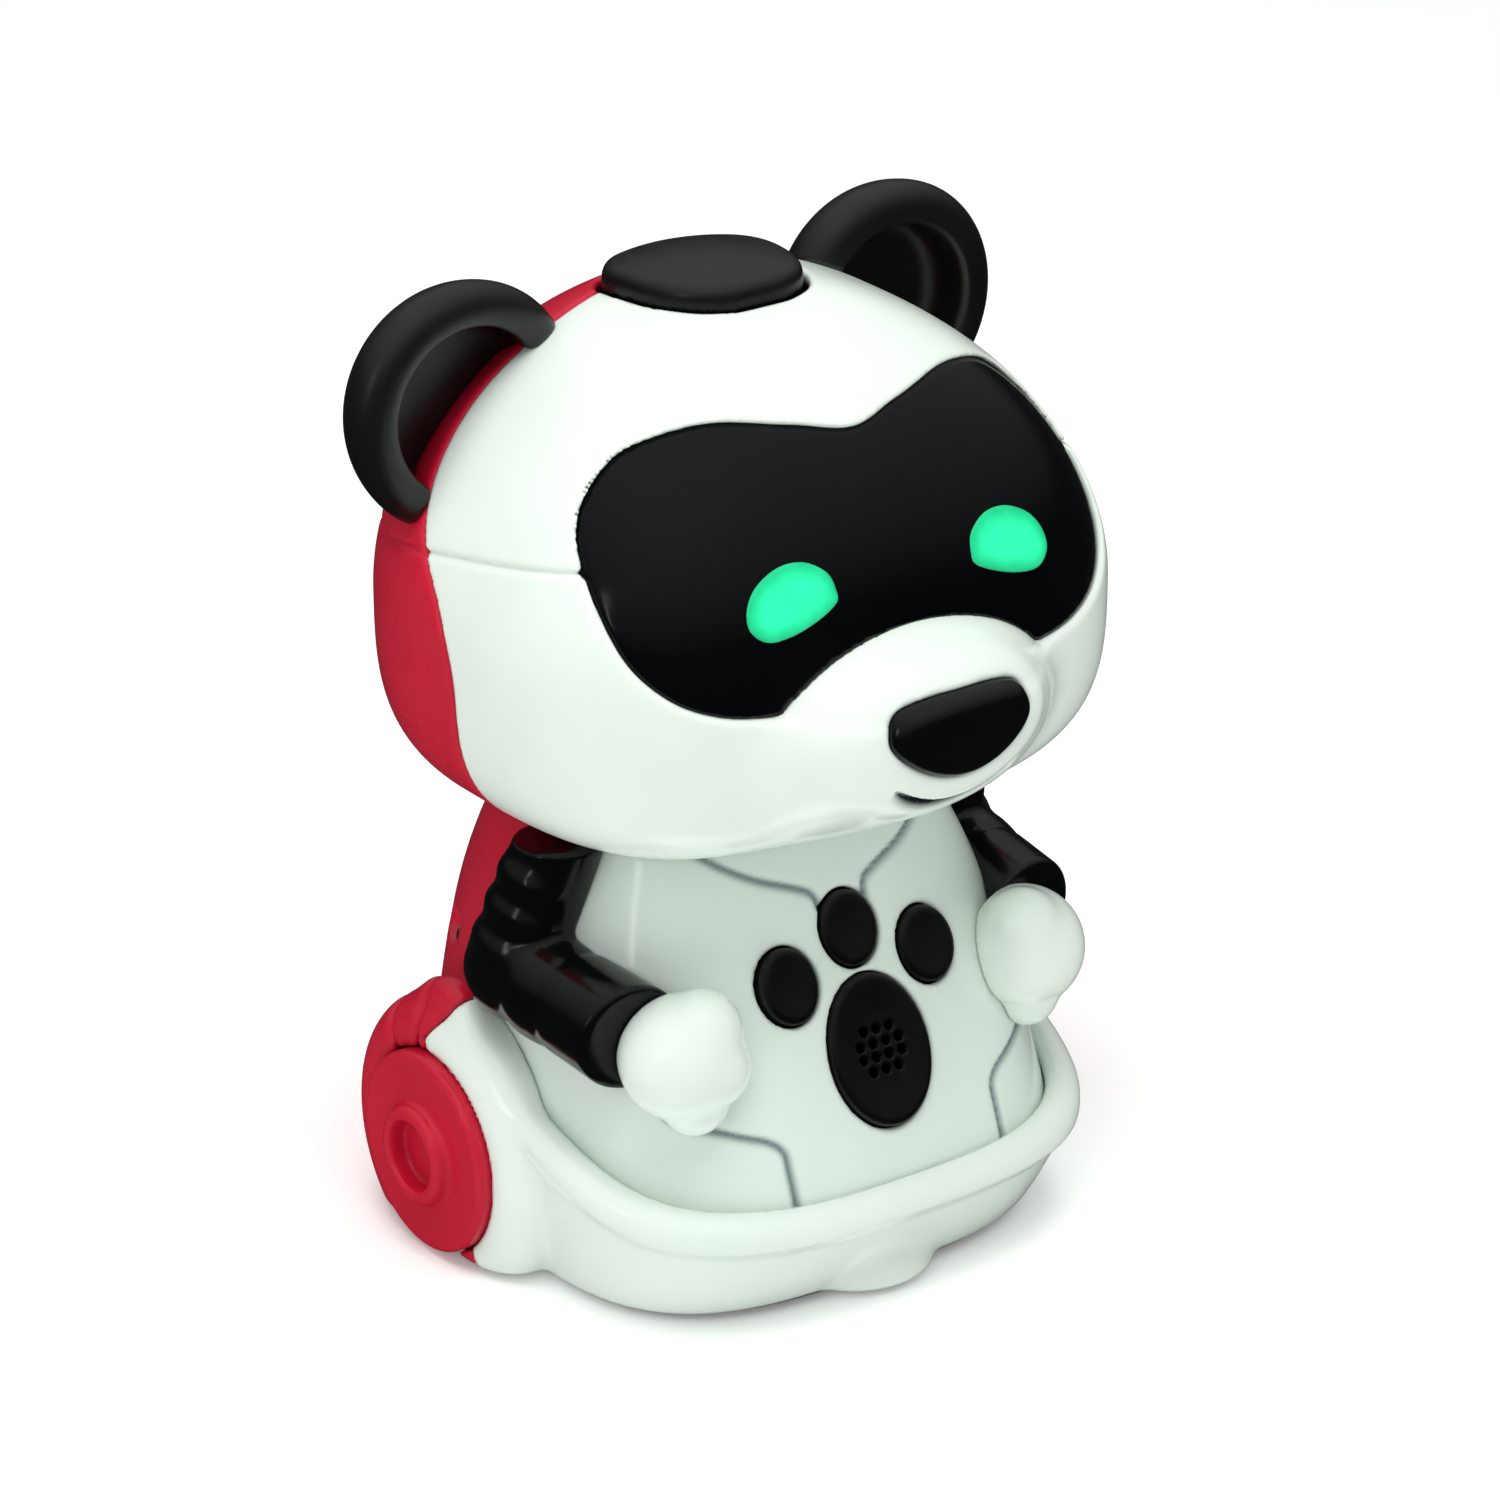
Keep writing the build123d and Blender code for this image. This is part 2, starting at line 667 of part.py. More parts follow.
CASTER_SHELL_RADIUS = 9.6
for name, front in (("base_front", True), ("base_back", False)):
    with BuildPart() as base:
        add(base_outer)
        add(base_inner, mode=Mode.SUBTRACT)
        add(torso_gap, mode=Mode.SUBTRACT)
        if front:
            with BuildSketch(Plane.XY.offset(BASE_BOTTOM_Z)):
                with Locations((0, BALL_Y)):
                    Circle(CASTER_SHELL_RADIUS)
            extrude(amount=11)
            add(caster_pocket.part, mode=Mode.SUBTRACT)
        add(wheel_well.part, mode=Mode.SUBTRACT)
        add(BODY_REAR, mode=Mode.SUBTRACT if front else Mode.INTERSECT)
    save(base, name)

# ---------------------------------------------------------------- base pan and power
BATTERY_BAY = (49.6, 43.6)            # inside of the battery bay in X and Y
BAY_Y = CELL_Y0 + CELL_PITCH * (CELL_COUNT - 1) / 2
PAN_TOP_Z = 3.2
BAY_TOP_Z = 16.2
DOOR_SIZE = (47.4, 41.4)
DOOR_GAP = 0.3
DOOR_SCREW_Y = BAY_Y + DOOR_SIZE[1] / 2 - 3.6
PAN_SCREWS = ((-31.0, -20.0), (31.0, -20.0), (-25.0, 33.0), (25.0, 33.0))
SWITCH_Y = 33.0
SWITCH_TRAVEL = 4.0
LOW_HEAD = 1.2                        # height of the low-headed screws under the base

with BuildPart() as base_pan:
    with BuildSketch(Plane.XY.offset(BASE_BOTTOM_Z)):
        with BuildLine():
            Spline(*oval(*[size - WALL - 0.3 for size in SKIRT_BOTTOM], BASE_PLAN, BASE_PLAN,
                         BASE_Y), periodic=True)
        make_face()
        with Locations((0, BALL_Y)):
            Circle(CASTER_SHELL_RADIUS + DOOR_GAP, mode=Mode.SUBTRACT)
        with Locations((0, BAY_Y)):
            Rectangle(DOOR_SIZE[0] + 2 * DOOR_GAP, DOOR_SIZE[1] + 2 * DOOR_GAP, mode=Mode.SUBTRACT)
        with Locations((0, SWITCH_Y)):
            Rectangle(5.0 + SWITCH_TRAVEL, 4.2, mode=Mode.SUBTRACT)
    extrude(amount=PAN_TOP_Z - BASE_BOTTOM_Z)
    with BuildSketch(Plane.XY.offset(PAN_TOP_Z)):
        with Locations((0, BAY_Y)):
            Rectangle(BATTERY_BAY[0] + 2.8, BATTERY_BAY[1] + 2.8)
            Rectangle(BATTERY_BAY[0], BATTERY_BAY[1], mode=Mode.SUBTRACT)
    extrude(amount=BAY_TOP_Z - PAN_TOP_Z)
    with BuildSketch(Plane.XY.offset(BAY_TOP_Z)):
        with Locations((0, BAY_Y)):
            Rectangle(BATTERY_BAY[0] + 2.8, BATTERY_BAY[1] + 2.8)
    extrude(amount=1.4)
    with BuildSketch(Plane.XY.offset(BASE_BOTTOM_Z)):
        with Locations(*PAN_SCREWS):
            Circle(SCREW_HEAD[0] + 0.1)
    extrude(amount=LOW_HEAD, mode=Mode.SUBTRACT)
    with BuildSketch(Plane.XY.offset(BASE_BOTTOM_Z)):
        with Locations(*PAN_SCREWS):
            Circle(SCREW_SHANK[0] + 0.05)
    extrude(amount=10, mode=Mode.SUBTRACT)
save(base_pan, "base_pan")


def low_screws(name, spots, length):
    """Low-headed screws under the base, pointing up, as one group."""
    with BuildPart() as group:
        with BuildSketch(Plane.XY.offset(BASE_BOTTOM_Z)):
            with Locations(*spots):
                Circle(SCREW_HEAD[0])
        extrude(amount=LOW_HEAD)
        with BuildSketch(Plane.XY.offset(BASE_BOTTOM_Z + LOW_HEAD)):
            with Locations(*spots):
                Circle(SCREW_SHANK[0])
        extrude(amount=length)
        with BuildSketch(Plane.XY.offset(BASE_BOTTOM_Z)):
            with Locations(*spots):
                Rectangle(3.2, 0.7)
                Rectangle(0.7, 3.2)
        extrude(amount=0.8, mode=Mode.SUBTRACT)
    save(group, name)


low_screws("base_screws", PAN_SCREWS, 7.0)
low_screws("door_screw", [(0, DOOR_SCREW_Y)], 1.4)

with BuildPart() as battery_door:
    with BuildSketch(Plane.XY.offset(BASE_BOTTOM_Z)):
        with Locations((0, BAY_Y)):
            RectangleRounded(*DOOR_SIZE, 2)
    extrude(amount=1.8)
    with BuildSketch(Plane.XY.offset(BASE_BOTTOM_Z)):
        with Locations((0, DOOR_SCREW_Y)):
            Circle(SCREW_HEAD[0] + 0.1)
    extrude(amount=LOW_HEAD, mode=Mode.SUBTRACT)
    with BuildSketch(Plane.XY.offset(BASE_BOTTOM_Z)):
        with Locations((0, DOOR_SCREW_Y)):
            Circle(SCREW_SHANK[0] + 0.05)
    extrude(amount=10, mode=Mode.SUBTRACT)
    with BuildSketch(Plane.XY.offset(BASE_BOTTOM_Z)):
        with Locations((0, BAY_Y - 8)):
            with GridLocations(1, 2.6, 1, 5):
                Rectangle(14, 1.2)
    extrude(amount=0.5, mode=Mode.SUBTRACT)
save(battery_door, "battery_door")

with BuildPart() as batteries:
    for index in range(CELL_COUNT):
        nub = 1 if index % 2 else -1
        with BuildSketch(Plane.YZ.offset(-CELL_LENGTH / 2)):
            with Locations((CELL_Y0 + index * CELL_PITCH, CELL_Z)):
                Circle(CELL_RADIUS)
        extrude(amount=CELL_LENGTH - 1.0)
        with BuildSketch(Plane.YZ.offset(nub * (CELL_LENGTH / 2 - 1.0))):
            with Locations((CELL_Y0 + index * CELL_PITCH, CELL_Z)):
                Circle(1.9)
        extrude(amount=nub)
save(batteries, "batteries")

with BuildPart() as battery_contacts:
    for end in (-1, 1):
        for index in range(CELL_COUNT):
            with BuildSketch(Plane.YZ.offset(end * BATTERY_BAY[0] / 2)):
                with Locations((CELL_Y0 + index * CELL_PITCH, CELL_Z)):
                    RectangleRounded(8.6, 9.0, 1)
            extrude(amount=-end * 0.5)
            with BuildSketch(Plane.YZ.offset(end * (BATTERY_BAY[0] / 2 - 0.5))):
                with Locations((CELL_Y0 + index * CELL_PITCH, CELL_Z)):
                    Circle(3.0)
            extrude(amount=-end * 1.3, taper=20)
save(battery_contacts, "battery_contacts")

with BuildPart() as power_switch:
    with BuildSketch(Plane.XY.offset(BASE_BOTTOM_Z - 0.4)):
        with Locations((-SWITCH_TRAVEL / 2, SWITCH_Y)):
            Rectangle(4.0, 3.4)
    extrude(amount=PAN_TOP_Z - BASE_BOTTOM_Z + 0.8)
    with BuildSketch(Plane.XY.offset(PAN_TOP_Z + 0.3)):
        with Locations((-SWITCH_TRAVEL / 2, SWITCH_Y)):
            Rectangle(9.5, 6.0)
    extrude(amount=1.2)
save(power_switch, "power_switch")

# ---------------------------------------------------------------- caster under the front
with BuildPart() as caster_cup:
    with BuildSketch(Plane.XY.offset(2.4)):
        with Locations((0, BALL_Y)):
            Circle(7.3)
    extrude(amount=11)
    with Locations((0, BALL_Y, BALL_RADIUS)):
        Sphere(BALL_RADIUS + 0.12, mode=Mode.SUBTRACT)
save(caster_cup, "caster_cup")

with BuildPart() as caster_ball:
    with Locations((0, BALL_Y, BALL_RADIUS)):
        Sphere(BALL_RADIUS)
save(caster_ball, "caster_ball")


# ---------------------------------------------------------------- running gear
def gear(side_x, x_span, centre, teeth, tooth_angle):
    """One straight-cut gear, with a tooth at tooth_angle from +Y."""
    pitch_radius = GEAR_MODULE * teeth / 2
    root = pitch_radius - 1.2 * GEAR_MODULE
    tip = pitch_radius + 0.85 * GEAR_MODULE
    half_root = 0.27 * pi * GEAR_MODULE
    half_tip = 0.12 * pi * GEAR_MODULE
    with BuildPart() as body:
        with BuildSketch(Plane.YZ.offset(side_x * x_span[0])):
            with Locations(centre):
                Circle(root)
                with PolarLocations(0, teeth, start_angle=tooth_angle):
                    Polygon((root - 0.3, -half_root), (tip, -half_tip), (tip, half_tip),
                            (root - 0.3, half_root), align=None)
        extrude(amount=side_x * (x_span[1] - x_span[0]))
    return body.part


def rod(side_x, x_span, centre, radius):
    """A round bar along X."""
    with BuildPart() as body:
        with BuildSketch(Plane.YZ.offset(side_x * x_span[0])):
            with Locations(centre):
                Circle(radius)
        extrude(amount=side_x * (x_span[1] - x_span[0]))
    return body.part


AXLE = (AXLE_Y, AXLE_Z)
IDLER = (IDLER_Y, IDLER_Z)
MOTOR = (MOTOR_Y, MOTOR_Z)
PIN_RADIUS = 1.0
BUSH_RADIUS = 2.6
MOTOR_X = (1.0, 26.0)
MOTOR_RADIUS = 10.0
MOTOR_FLAT = 15.4
PLATE_OUTLINE = ((2, 3.3), (24, 3.3), (28, 22), (28, 29), (20, 38), (8, 41), (-5, 41), (-5, 14))
POSTS = ((-1.5, 18.5), (25.6, 26.4), (-2.2, 38.2))

for side, side_x in (("left", 1), ("right", -1)):
    rim_radius = TYRE_INNER_RADIUS - 0.05
    profile = [(HUB_BOSS_X, 0), (HUB_BOSS_X, HUB_BOSS_RADIUS), (45.6, HUB_BOSS_RADIUS),
               (45.6, rim_radius), (DISC_X[0], rim_radius), (DISC_X[0], DISC_RADIUS),
               (DISC_X[1] - 1.6, DISC_RADIUS), (DISC_X[1], DISC_RADIUS - 1.6),
               (DISC_X[1], HUB_RING_RADIUS + 0.8), (HUB_X, HUB_RING_RADIUS),
               (HUB_X, HUB_RECESS_RADIUS), (DISC_X[1] - 0.6, HUB_RECESS_RADIUS),
               (DISC_X[1] - 0.6, 0)]
    with BuildPart() as wheel:
        with BuildSketch(Plane(origin=(0, *AXLE), x_dir=(1, 0, 0), z_dir=(0, 0, 1))):
            with BuildLine():
                Polyline(*[(side_x * x, radius) for x, radius in profile], close=True)
            make_face()
        revolve(axis=Axis((0, *AXLE), (1, 0, 0)))
        add(rod(side_x, (HUB_BOSS_X, 50.8), AXLE, AXLE_RADIUS + 0.02), mode=Mode.SUBTRACT)
    save(wheel, f"wheel_{side}")

    with BuildPart() as tyre:
        add(rod(side_x, TYRE_X, AXLE, TYRE_RADIUS))
        fillet(tyre.edges().filter_by(GeomType.CIRCLE), 0.6)
        add(rod(side_x, TYRE_X, AXLE, TYRE_INNER_RADIUS), mode=Mode.SUBTRACT)
    save(tyre, f"tyre_{side}")

    with BuildPart() as axle:
        add(rod(side_x, (PLATE_X[0][0] + 0.4, 50.6), AXLE, AXLE_RADIUS))
    save(axle, f"axle_{side}")

    with BuildPart() as bushes:
        for span in PLATE_X:
            add(rod(side_x, span, AXLE, BUSH_RADIUS))
            add(rod(side_x, span, AXLE, AXLE_RADIUS + RUNNING_GAP), mode=Mode.SUBTRACT)
    save(bushes, f"axle_bushes_{side}")

    with BuildPart() as axle_gear:
        add(gear(side_x, GEAR_X, AXLE, WHEEL_TEETH, IDLER_ANGLE))
        add(rod(side_x, GEAR_X, AXLE, AXLE_RADIUS + 0.02), mode=Mode.SUBTRACT)
    save(axle_gear, f"axle_gear_{side}")

    with BuildPart() as idler:
        add(gear(side_x, GEAR_X, IDLER, PINION_TEETH, IDLER_ANGLE + 180 + 180 / PINION_TEETH))
        add(rod(side_x, (GEAR_X[1], FAST_X[0]), IDLER, 2.0))
        add(gear(side_x, FAST_X, IDLER, WHEEL_TEETH, MOTOR_ANGLE))
        add(rod(side_x, (GEAR_X[0], FAST_X[1]), IDLER, PIN_RADIUS + RUNNING_GAP),
            mode=Mode.SUBTRACT)
    save(idler, f"idler_gear_{side}")

    with BuildPart() as pinion:
        add(gear(side_x, FAST_X, MOTOR, PINION_TEETH, MOTOR_ANGLE + 180 + 180 / PINION_TEETH))
        add(rod(side_x, (MOTOR_X[1] + 0.2, FAST_X[1]), MOTOR, PIN_RADIUS))
    save(pinion, f"motor_pinion_{side}")

    with BuildPart() as motor:
        add(rod(side_x, MOTOR_X, MOTOR, MOTOR_RADIUS))
        with BuildSketch(Plane.YZ.offset(side_x * MOTOR_X[0])):
            with Locations(MOTOR):
                Rectangle(2 * MOTOR_RADIUS, MOTOR_FLAT)
        extrude(amount=side_x * (MOTOR_X[1] - MOTOR_X[0]), mode=Mode.INTERSECT)
    save(motor, f"motor_{side}")

    with BuildPart() as gearbox:
        for span in PLATE_X:
            with BuildSketch(Plane.YZ.offset(side_x * span[0])):
                Polygon(*PLATE_OUTLINE, align=None)
            extrude(amount=side_x * (span[1] - span[0]))
            add(rod(side_x, span, AXLE, BUSH_RADIUS), mode=Mode.SUBTRACT)
        for post in POSTS:
            add(rod(side_x, (PLATE_X[0][1], PLATE_X[1][0]), post, 1.8))
        add(rod(side_x, PLATE_X[0], MOTOR, 3.0), mode=Mode.SUBTRACT)
        add(rod(side_x, (PLATE_X[0][0], PLATE_X[1][1]), IDLER, PIN_RADIUS))
    save(gearbox, f"gearbox_{side}")
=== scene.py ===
"""Looks for a panda-shaped robot on a two-wheeled base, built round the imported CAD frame."""
from math import cos, radians, sin

import bpy
import numpy as np
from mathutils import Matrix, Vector


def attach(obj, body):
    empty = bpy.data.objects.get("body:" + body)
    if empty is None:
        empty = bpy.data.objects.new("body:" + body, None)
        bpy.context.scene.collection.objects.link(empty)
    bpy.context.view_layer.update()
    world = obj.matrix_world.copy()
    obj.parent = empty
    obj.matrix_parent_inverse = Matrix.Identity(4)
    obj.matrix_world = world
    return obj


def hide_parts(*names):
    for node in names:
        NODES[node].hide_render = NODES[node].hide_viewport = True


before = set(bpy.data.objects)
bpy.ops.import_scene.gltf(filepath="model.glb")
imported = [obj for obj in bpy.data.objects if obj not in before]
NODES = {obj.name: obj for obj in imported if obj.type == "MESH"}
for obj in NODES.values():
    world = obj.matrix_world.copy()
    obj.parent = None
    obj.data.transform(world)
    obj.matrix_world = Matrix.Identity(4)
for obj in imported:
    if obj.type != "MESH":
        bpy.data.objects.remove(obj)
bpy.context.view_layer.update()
MM = 0.001
GLOSS = (0.16, 0.24)                  # roughness range of the white plastic
GLOSS_COAT = 0.25
WAVE_DEPTH = 0.0004                   # bump depths in metres
SKIN_DEPTH = 0.000015
WEAR_DEPTH = 0.00002
TREAD_DEPTH = 0.00008


# ---------------------------------------------------------------- materials
def nodes_of(name):
    """A new node material: (material, node tree, principled shader)."""
    material = bpy.data.materials.new(name)
    material.use_nodes = True
    tree = material.node_tree
    shader = tree.nodes["Principled BSDF"]
    return material, tree, shader


def noise(tree, scale, detail=3.0, roughness=0.55):
    """Noise in the object's own frame, in cycles per metre."""
    coords = tree.nodes.new("ShaderNodeTexCoord")
    texture = tree.nodes.new("ShaderNodeTexNoise")
    texture.inputs["Scale"].default_value = scale
    texture.inputs["Detail"].default_value = detail
    texture.inputs["Roughness"].default_value = roughness
    tree.links.new(coords.outputs["Object"], texture.inputs["Vector"])
    return texture.outputs["Fac"]


def spread(tree, value, low, high):
    """Map a noise value onto low to high."""
    ramp = tree.nodes.new("ShaderNodeMapRange")
    ramp.inputs["From Min"].default_value = 0.3
    ramp.inputs["From Max"].default_value = 0.7
    ramp.inputs["To Min"].default_value = low
    ramp.inputs["To Max"].default_value = high
    tree.links.new(value, ramp.inputs["Value"])
    return ramp.outputs["Result"]


def mix(tree, factor, colour_a, colour_b):
    """Blend two colours, each a tuple or a socket."""
    blend = tree.nodes.new("ShaderNodeMix")
    blend.data_type = "RGBA"
    tree.links.new(factor, blend.inputs["Factor"])
    for socket, colour in (("A", colour_a), ("B", colour_b)):
        slot = [s for s in blend.inputs if s.name == socket and s.type == "RGBA"][0]
        if isinstance(colour, tuple):
            slot.default_value = (*colour, 1.0)
        else:
            tree.links.new(colour, slot)
    return [s for s in blend.outputs if s.type == "RGBA"][0]


def bump(tree, shader, layers):
    """Stack bumps: (height socket, strength, depth in metres)."""
    previous = None
    for height, strength, distance in layers:
        node = tree.nodes.new("ShaderNodeBump")
        node.inputs["Strength"].default_value = strength
        node.inputs["Distance"].default_value = distance
        tree.links.new(height, node.inputs["Height"])
        if previous:
            tree.links.new(previous, node.inputs["Normal"])
        previous = node.outputs["Normal"]
    tree.links.new(previous, shader.inputs["Normal"])


def linear(red, green, blue):
    """sRGB 0-255 to linear."""
    values = []
    for channel in (red, green, blue):
        c = channel / 255
        values.append(c / 12.92 if c <= 0.04045 else ((c + 0.055) / 1.055) ** 2.4)
    return tuple(values)


def moulded(name, colour, shade, rough, coat=0.0, grain=0.25, specular=0.5):
    """Moulded plastic: slow colour drift, flow-mottled gloss, fine skin and slight waviness."""
    material, tree, shader = nodes_of(name)
    drift = spread(tree, noise(tree, 38.0, 2.0), 0.0, 1.0)
    base = mix(tree, drift, linear(*colour), linear(*shade))
    tree.links.new(base, shader.inputs["Base Color"])
    tree.links.new(spread(tree, noise(tree, 160.0, 4.0), *rough), shader.inputs["Roughness"])
    shader.inputs["Specular IOR Level"].default_value = specular
    shader.inputs["Coat Weight"].default_value = coat
    shader.inputs["Coat Roughness"].default_value = 0.06
    bump(tree, shader, [(noise(tree, 45.0, 1.0), 0.06, WAVE_DEPTH),
                        (noise(tree, 2600.0, 2.0), grain, SKIN_DEPTH)])
    return material


def metal(name, colour, shade, rough):
    """Drawn or turned metal with fine wear."""
    material, tree, shader = nodes_of(name)
    drift = spread(tree, noise(tree, 220.0, 4.0), 0.0, 1.0)
    tree.links.new(mix(tree, drift, linear(*colour), linear(*shade)), shader.inputs["Base Color"])
    tree.links.new(spread(tree, noise(tree, 900.0, 3.0), *rough), shader.inputs["Roughness"])
    shader.inputs["Metallic"].default_value = 1.0
    bump(tree, shader, [(noise(tree, 3000.0, 3.0), 0.3, WEAR_DEPTH)])
    return material


def glowing(name, middle, edge, strength):
    """Lit, frosted window, darker towards its edge by the mesh's groove attribute."""
    material, tree, shader = nodes_of(name)
    marks = tree.nodes.new("ShaderNodeAttribute")
    marks.attribute_name = "groove"
    drift = spread(tree, noise(tree, 260.0, 3.0), -0.12, 0.12)
    shade = tree.nodes.new("ShaderNodeMath")
    tree.links.new(marks.outputs["Fac"], shade.inputs[0])
    tree.links.new(drift, shade.inputs[1])
    tint = mix(tree, shade.outputs["Value"], linear(*middle), linear(*edge))
    tree.links.new(tint, shader.inputs["Base Color"])
    tree.links.new(tint, shader.inputs["Emission Color"])
    shader.inputs["Emission Strength"].default_value = strength
    tree.links.new(spread(tree, noise(tree, 700.0), 0.3, 0.42), shader.inputs["Roughness"])
    bump(tree, shader, [(noise(tree, 1800.0, 2.0), 0.2, WEAR_DEPTH)])
    return material


def rubber(name, colour, shade):
    """Dull tyre rubber."""
    material, tree, shader = nodes_of(name)
    drift = spread(tree, noise(tree, 300.0, 5.0), 0.0, 1.0)
    tree.links.new(mix(tree, drift, linear(*colour), linear(*shade)), shader.inputs["Base Color"])
    tree.links.new(spread(tree, noise(tree, 600.0, 4.0), 0.62, 0.8), shader.inputs["Roughness"])
    bump(tree, shader, [(noise(tree, 2200.0, 4.0), 0.6, TREAD_DEPTH)])
    return material


def lined(name, colour, shade, line):
    """Gloss plastic that darkens to a line colour by the mesh's groove attribute: printed lines on
    the chest, painted shade in the mouth's scoop.
    """
    material = moulded(name, colour, shade, GLOSS, GLOSS_COAT)
    tree = material.node_tree
    shader = tree.nodes["Principled BSDF"]
    marks = tree.nodes.new("ShaderNodeAttribute")
    marks.attribute_name = "groove"
    plain = shader.inputs["Base Color"].links[0].from_socket
    tree.links.new(mix(tree, marks.outputs["Fac"], plain, linear(*line)),
                   shader.inputs["Base Color"])
    return material


SKIN = {
    "white_gloss": moulded("white_gloss", (231, 240, 232), (225, 236, 227), GLOSS, GLOSS_COAT),
    "red_gloss": moulded("red_gloss", (198, 22, 52), (190, 17, 47), (0.26, 0.32), 0.1, 0.06, 0.4),
    "black_gloss": moulded("black_gloss", (8, 9, 10), (5, 6, 7), (0.13, 0.2), 0.0, 0.25, 0.3),
    "black_satin": moulded("black_satin", (15, 17, 16), (11, 12, 12), (0.32, 0.42), 0.0, 0.5),
    "visor_black": moulded("visor_black", (4, 6, 8), (2, 4, 5), (0.14, 0.2), 0.0, 0.05, 0.22),
    "pad_black": moulded("pad_black", (8, 8, 9), (5, 6, 6), (0.3, 0.4), 0.0, 0.5, 0.25),
    "eye_glow": glowing("eye_glow", (34, 226, 158), (4, 168, 110), 0.42),
    "tyre_rubber": rubber("tyre_rubber", (24, 24, 25), (14, 14, 15)),
    "circuit_board": moulded("circuit_board", (18, 92, 50), (10, 70, 38), (0.35, 0.5)),
    "steel": metal("steel", (196, 198, 200), (150, 152, 155), (0.2, 0.38)),
    "brass": metal("brass", (214, 176, 92), (176, 138, 62), (0.22, 0.4)),
    "gear_white": moulded("gear_white", (232, 230, 222), (220, 218, 208), (0.4, 0.52)),
    "dark_plastic": moulded("dark_plastic", (40, 42, 44), (28, 30, 32), (0.4, 0.55)),
    "cell_wrap": moulded("cell_wrap", (30, 92, 120), (20, 70, 98), (0.18, 0.3), 0.2),
    "white_lined": lined("white_lined", (226, 238, 229), (220, 233, 223), (112, 132, 134)),
    # white_smile: its near-black line colour is painted shade in the mouth's scoop, below the upper
    # lip
    "white_smile": lined("white_smile", (231, 240, 232), (225, 236, 227), (24, 30, 34)),
}
for node in NODES.values():
    for place in node.material_slots:
        kind = place.material.name.split(".")[0]
        place.material = SKIN[kind]


# ---------------------------------------------------------------- carving solids from distance fields
# A piece is the region where its field, in millimetres in the row frame, is negative.
SMALLEST_SIZE = 0.02
NEWTON_STEPS = 2
PROBE = 0.05


def joined(a, b, soft):
    """Union of two fields with a blend of about this size."""
    h = np.clip(0.5 + 0.5 * (b - a) / soft, 0, 1)
    return b * (1 - h) + a * h - soft * h * (1 - h)


def common(a, b, soft):
    """Intersection of two fields with a rounded edge."""
    return -joined(-a, -b, soft)


def cut(a, b, soft):
    """Field a with b taken away, and a rounded edge."""
    return common(a, -b, soft)


def from_centre(distance, size):
    """Field of a closed form, from the distance to its centre and a size that is 1 on its skin."""
    return distance * (1 - 1 / np.maximum(size, SMALLEST_SIZE))


def ridge(distance, width):
    """1 on a line, falling to 0 beside it."""
    return np.exp(-(distance / width) ** 2)


def curve_through(points, closed=True, steps=8):
    """Smooth curve through a few points."""
    points = np.array(points, float)
    count = len(points)
    line = []
    for index in range(count if closed else count - 1):
        if closed:
            a, b, c, d = (points[(index + k) % count] for k in (-1, 0, 1, 2))
        else:
            a, b, c, d = (points[min(max(index + k, 0), count - 1)] for k in (-1, 0, 1, 2))
        for s in np.arange(steps) / steps:
            line.append(0.5 * (2 * b + (c - a) * s + (2 * a - 5 * b + 4 * c - d) * s ** 2
                               + (3 * b - a - 3 * c + d) * s ** 3))
    if not closed:
        line.append(points[-1])
    return np.array(line)


def mirrored(half):
    """Whole outline from its right half, listed from bottom or top centre round to the other."""
    return list(half) + [(-u, v) for u, v in reversed(half) if u > 0.01]


def flat_distance(line, closed=True, margin=9.0, pitch=0.3):
    """Distance to a flat curve as a function, negative inside a closed one."""
    low = line.min(0) - margin
    high = line.max(0) + margin
    across = np.arange(low[0], high[0] + pitch, pitch)
    along = np.arange(low[1], high[1] + pitch, pitch)
    u, v = np.meshgrid(across, along, indexing="ij")
    best = np.full(u.shape, 1e9)
    inside = np.zeros(u.shape, bool)
    ends = np.roll(line, -1, 0) if closed else line[1:]
    for (au, av), (bu, bv) in zip(line, ends):
        du, dv = bu - au, bv - av
        t = np.clip(((u - au) * du + (v - av) * dv) / (du * du + dv * dv + 1e-12), 0, 1)
        best = np.minimum(best, np.hypot(u - au - t * du, v - av - t * dv))
        if closed and av != bv:
            inside ^= ((av > v) != (bv > v)) & (u < du * (v - av) / dv + au)
    table = np.where(inside, -best, best)

    def distance(u, v):
        fu = np.clip((u - low[0]) / pitch, 0, len(across) - 1.001)
        fv = np.clip((v - low[1]) / pitch, 0, len(along) - 1.001)
        i, j = fu.astype(int), fv.astype(int)
        a, b = fu - i, fv - j
        return (table[i, j] * (1 - a) * (1 - b) + table[i + 1, j] * a * (1 - b)
                + table[i, j + 1] * (1 - a) * b + table[i + 1, j + 1] * a * b)
    return distance


CORNERS = np.array([(i, j, k) for i in (0, 1) for j in (0, 1) for k in (0, 1)])
EDGES = [(a, b) for a in range(8) for b in range(a + 1, 8)
         if abs(CORNERS[a] - CORNERS[b]).sum() == 1]


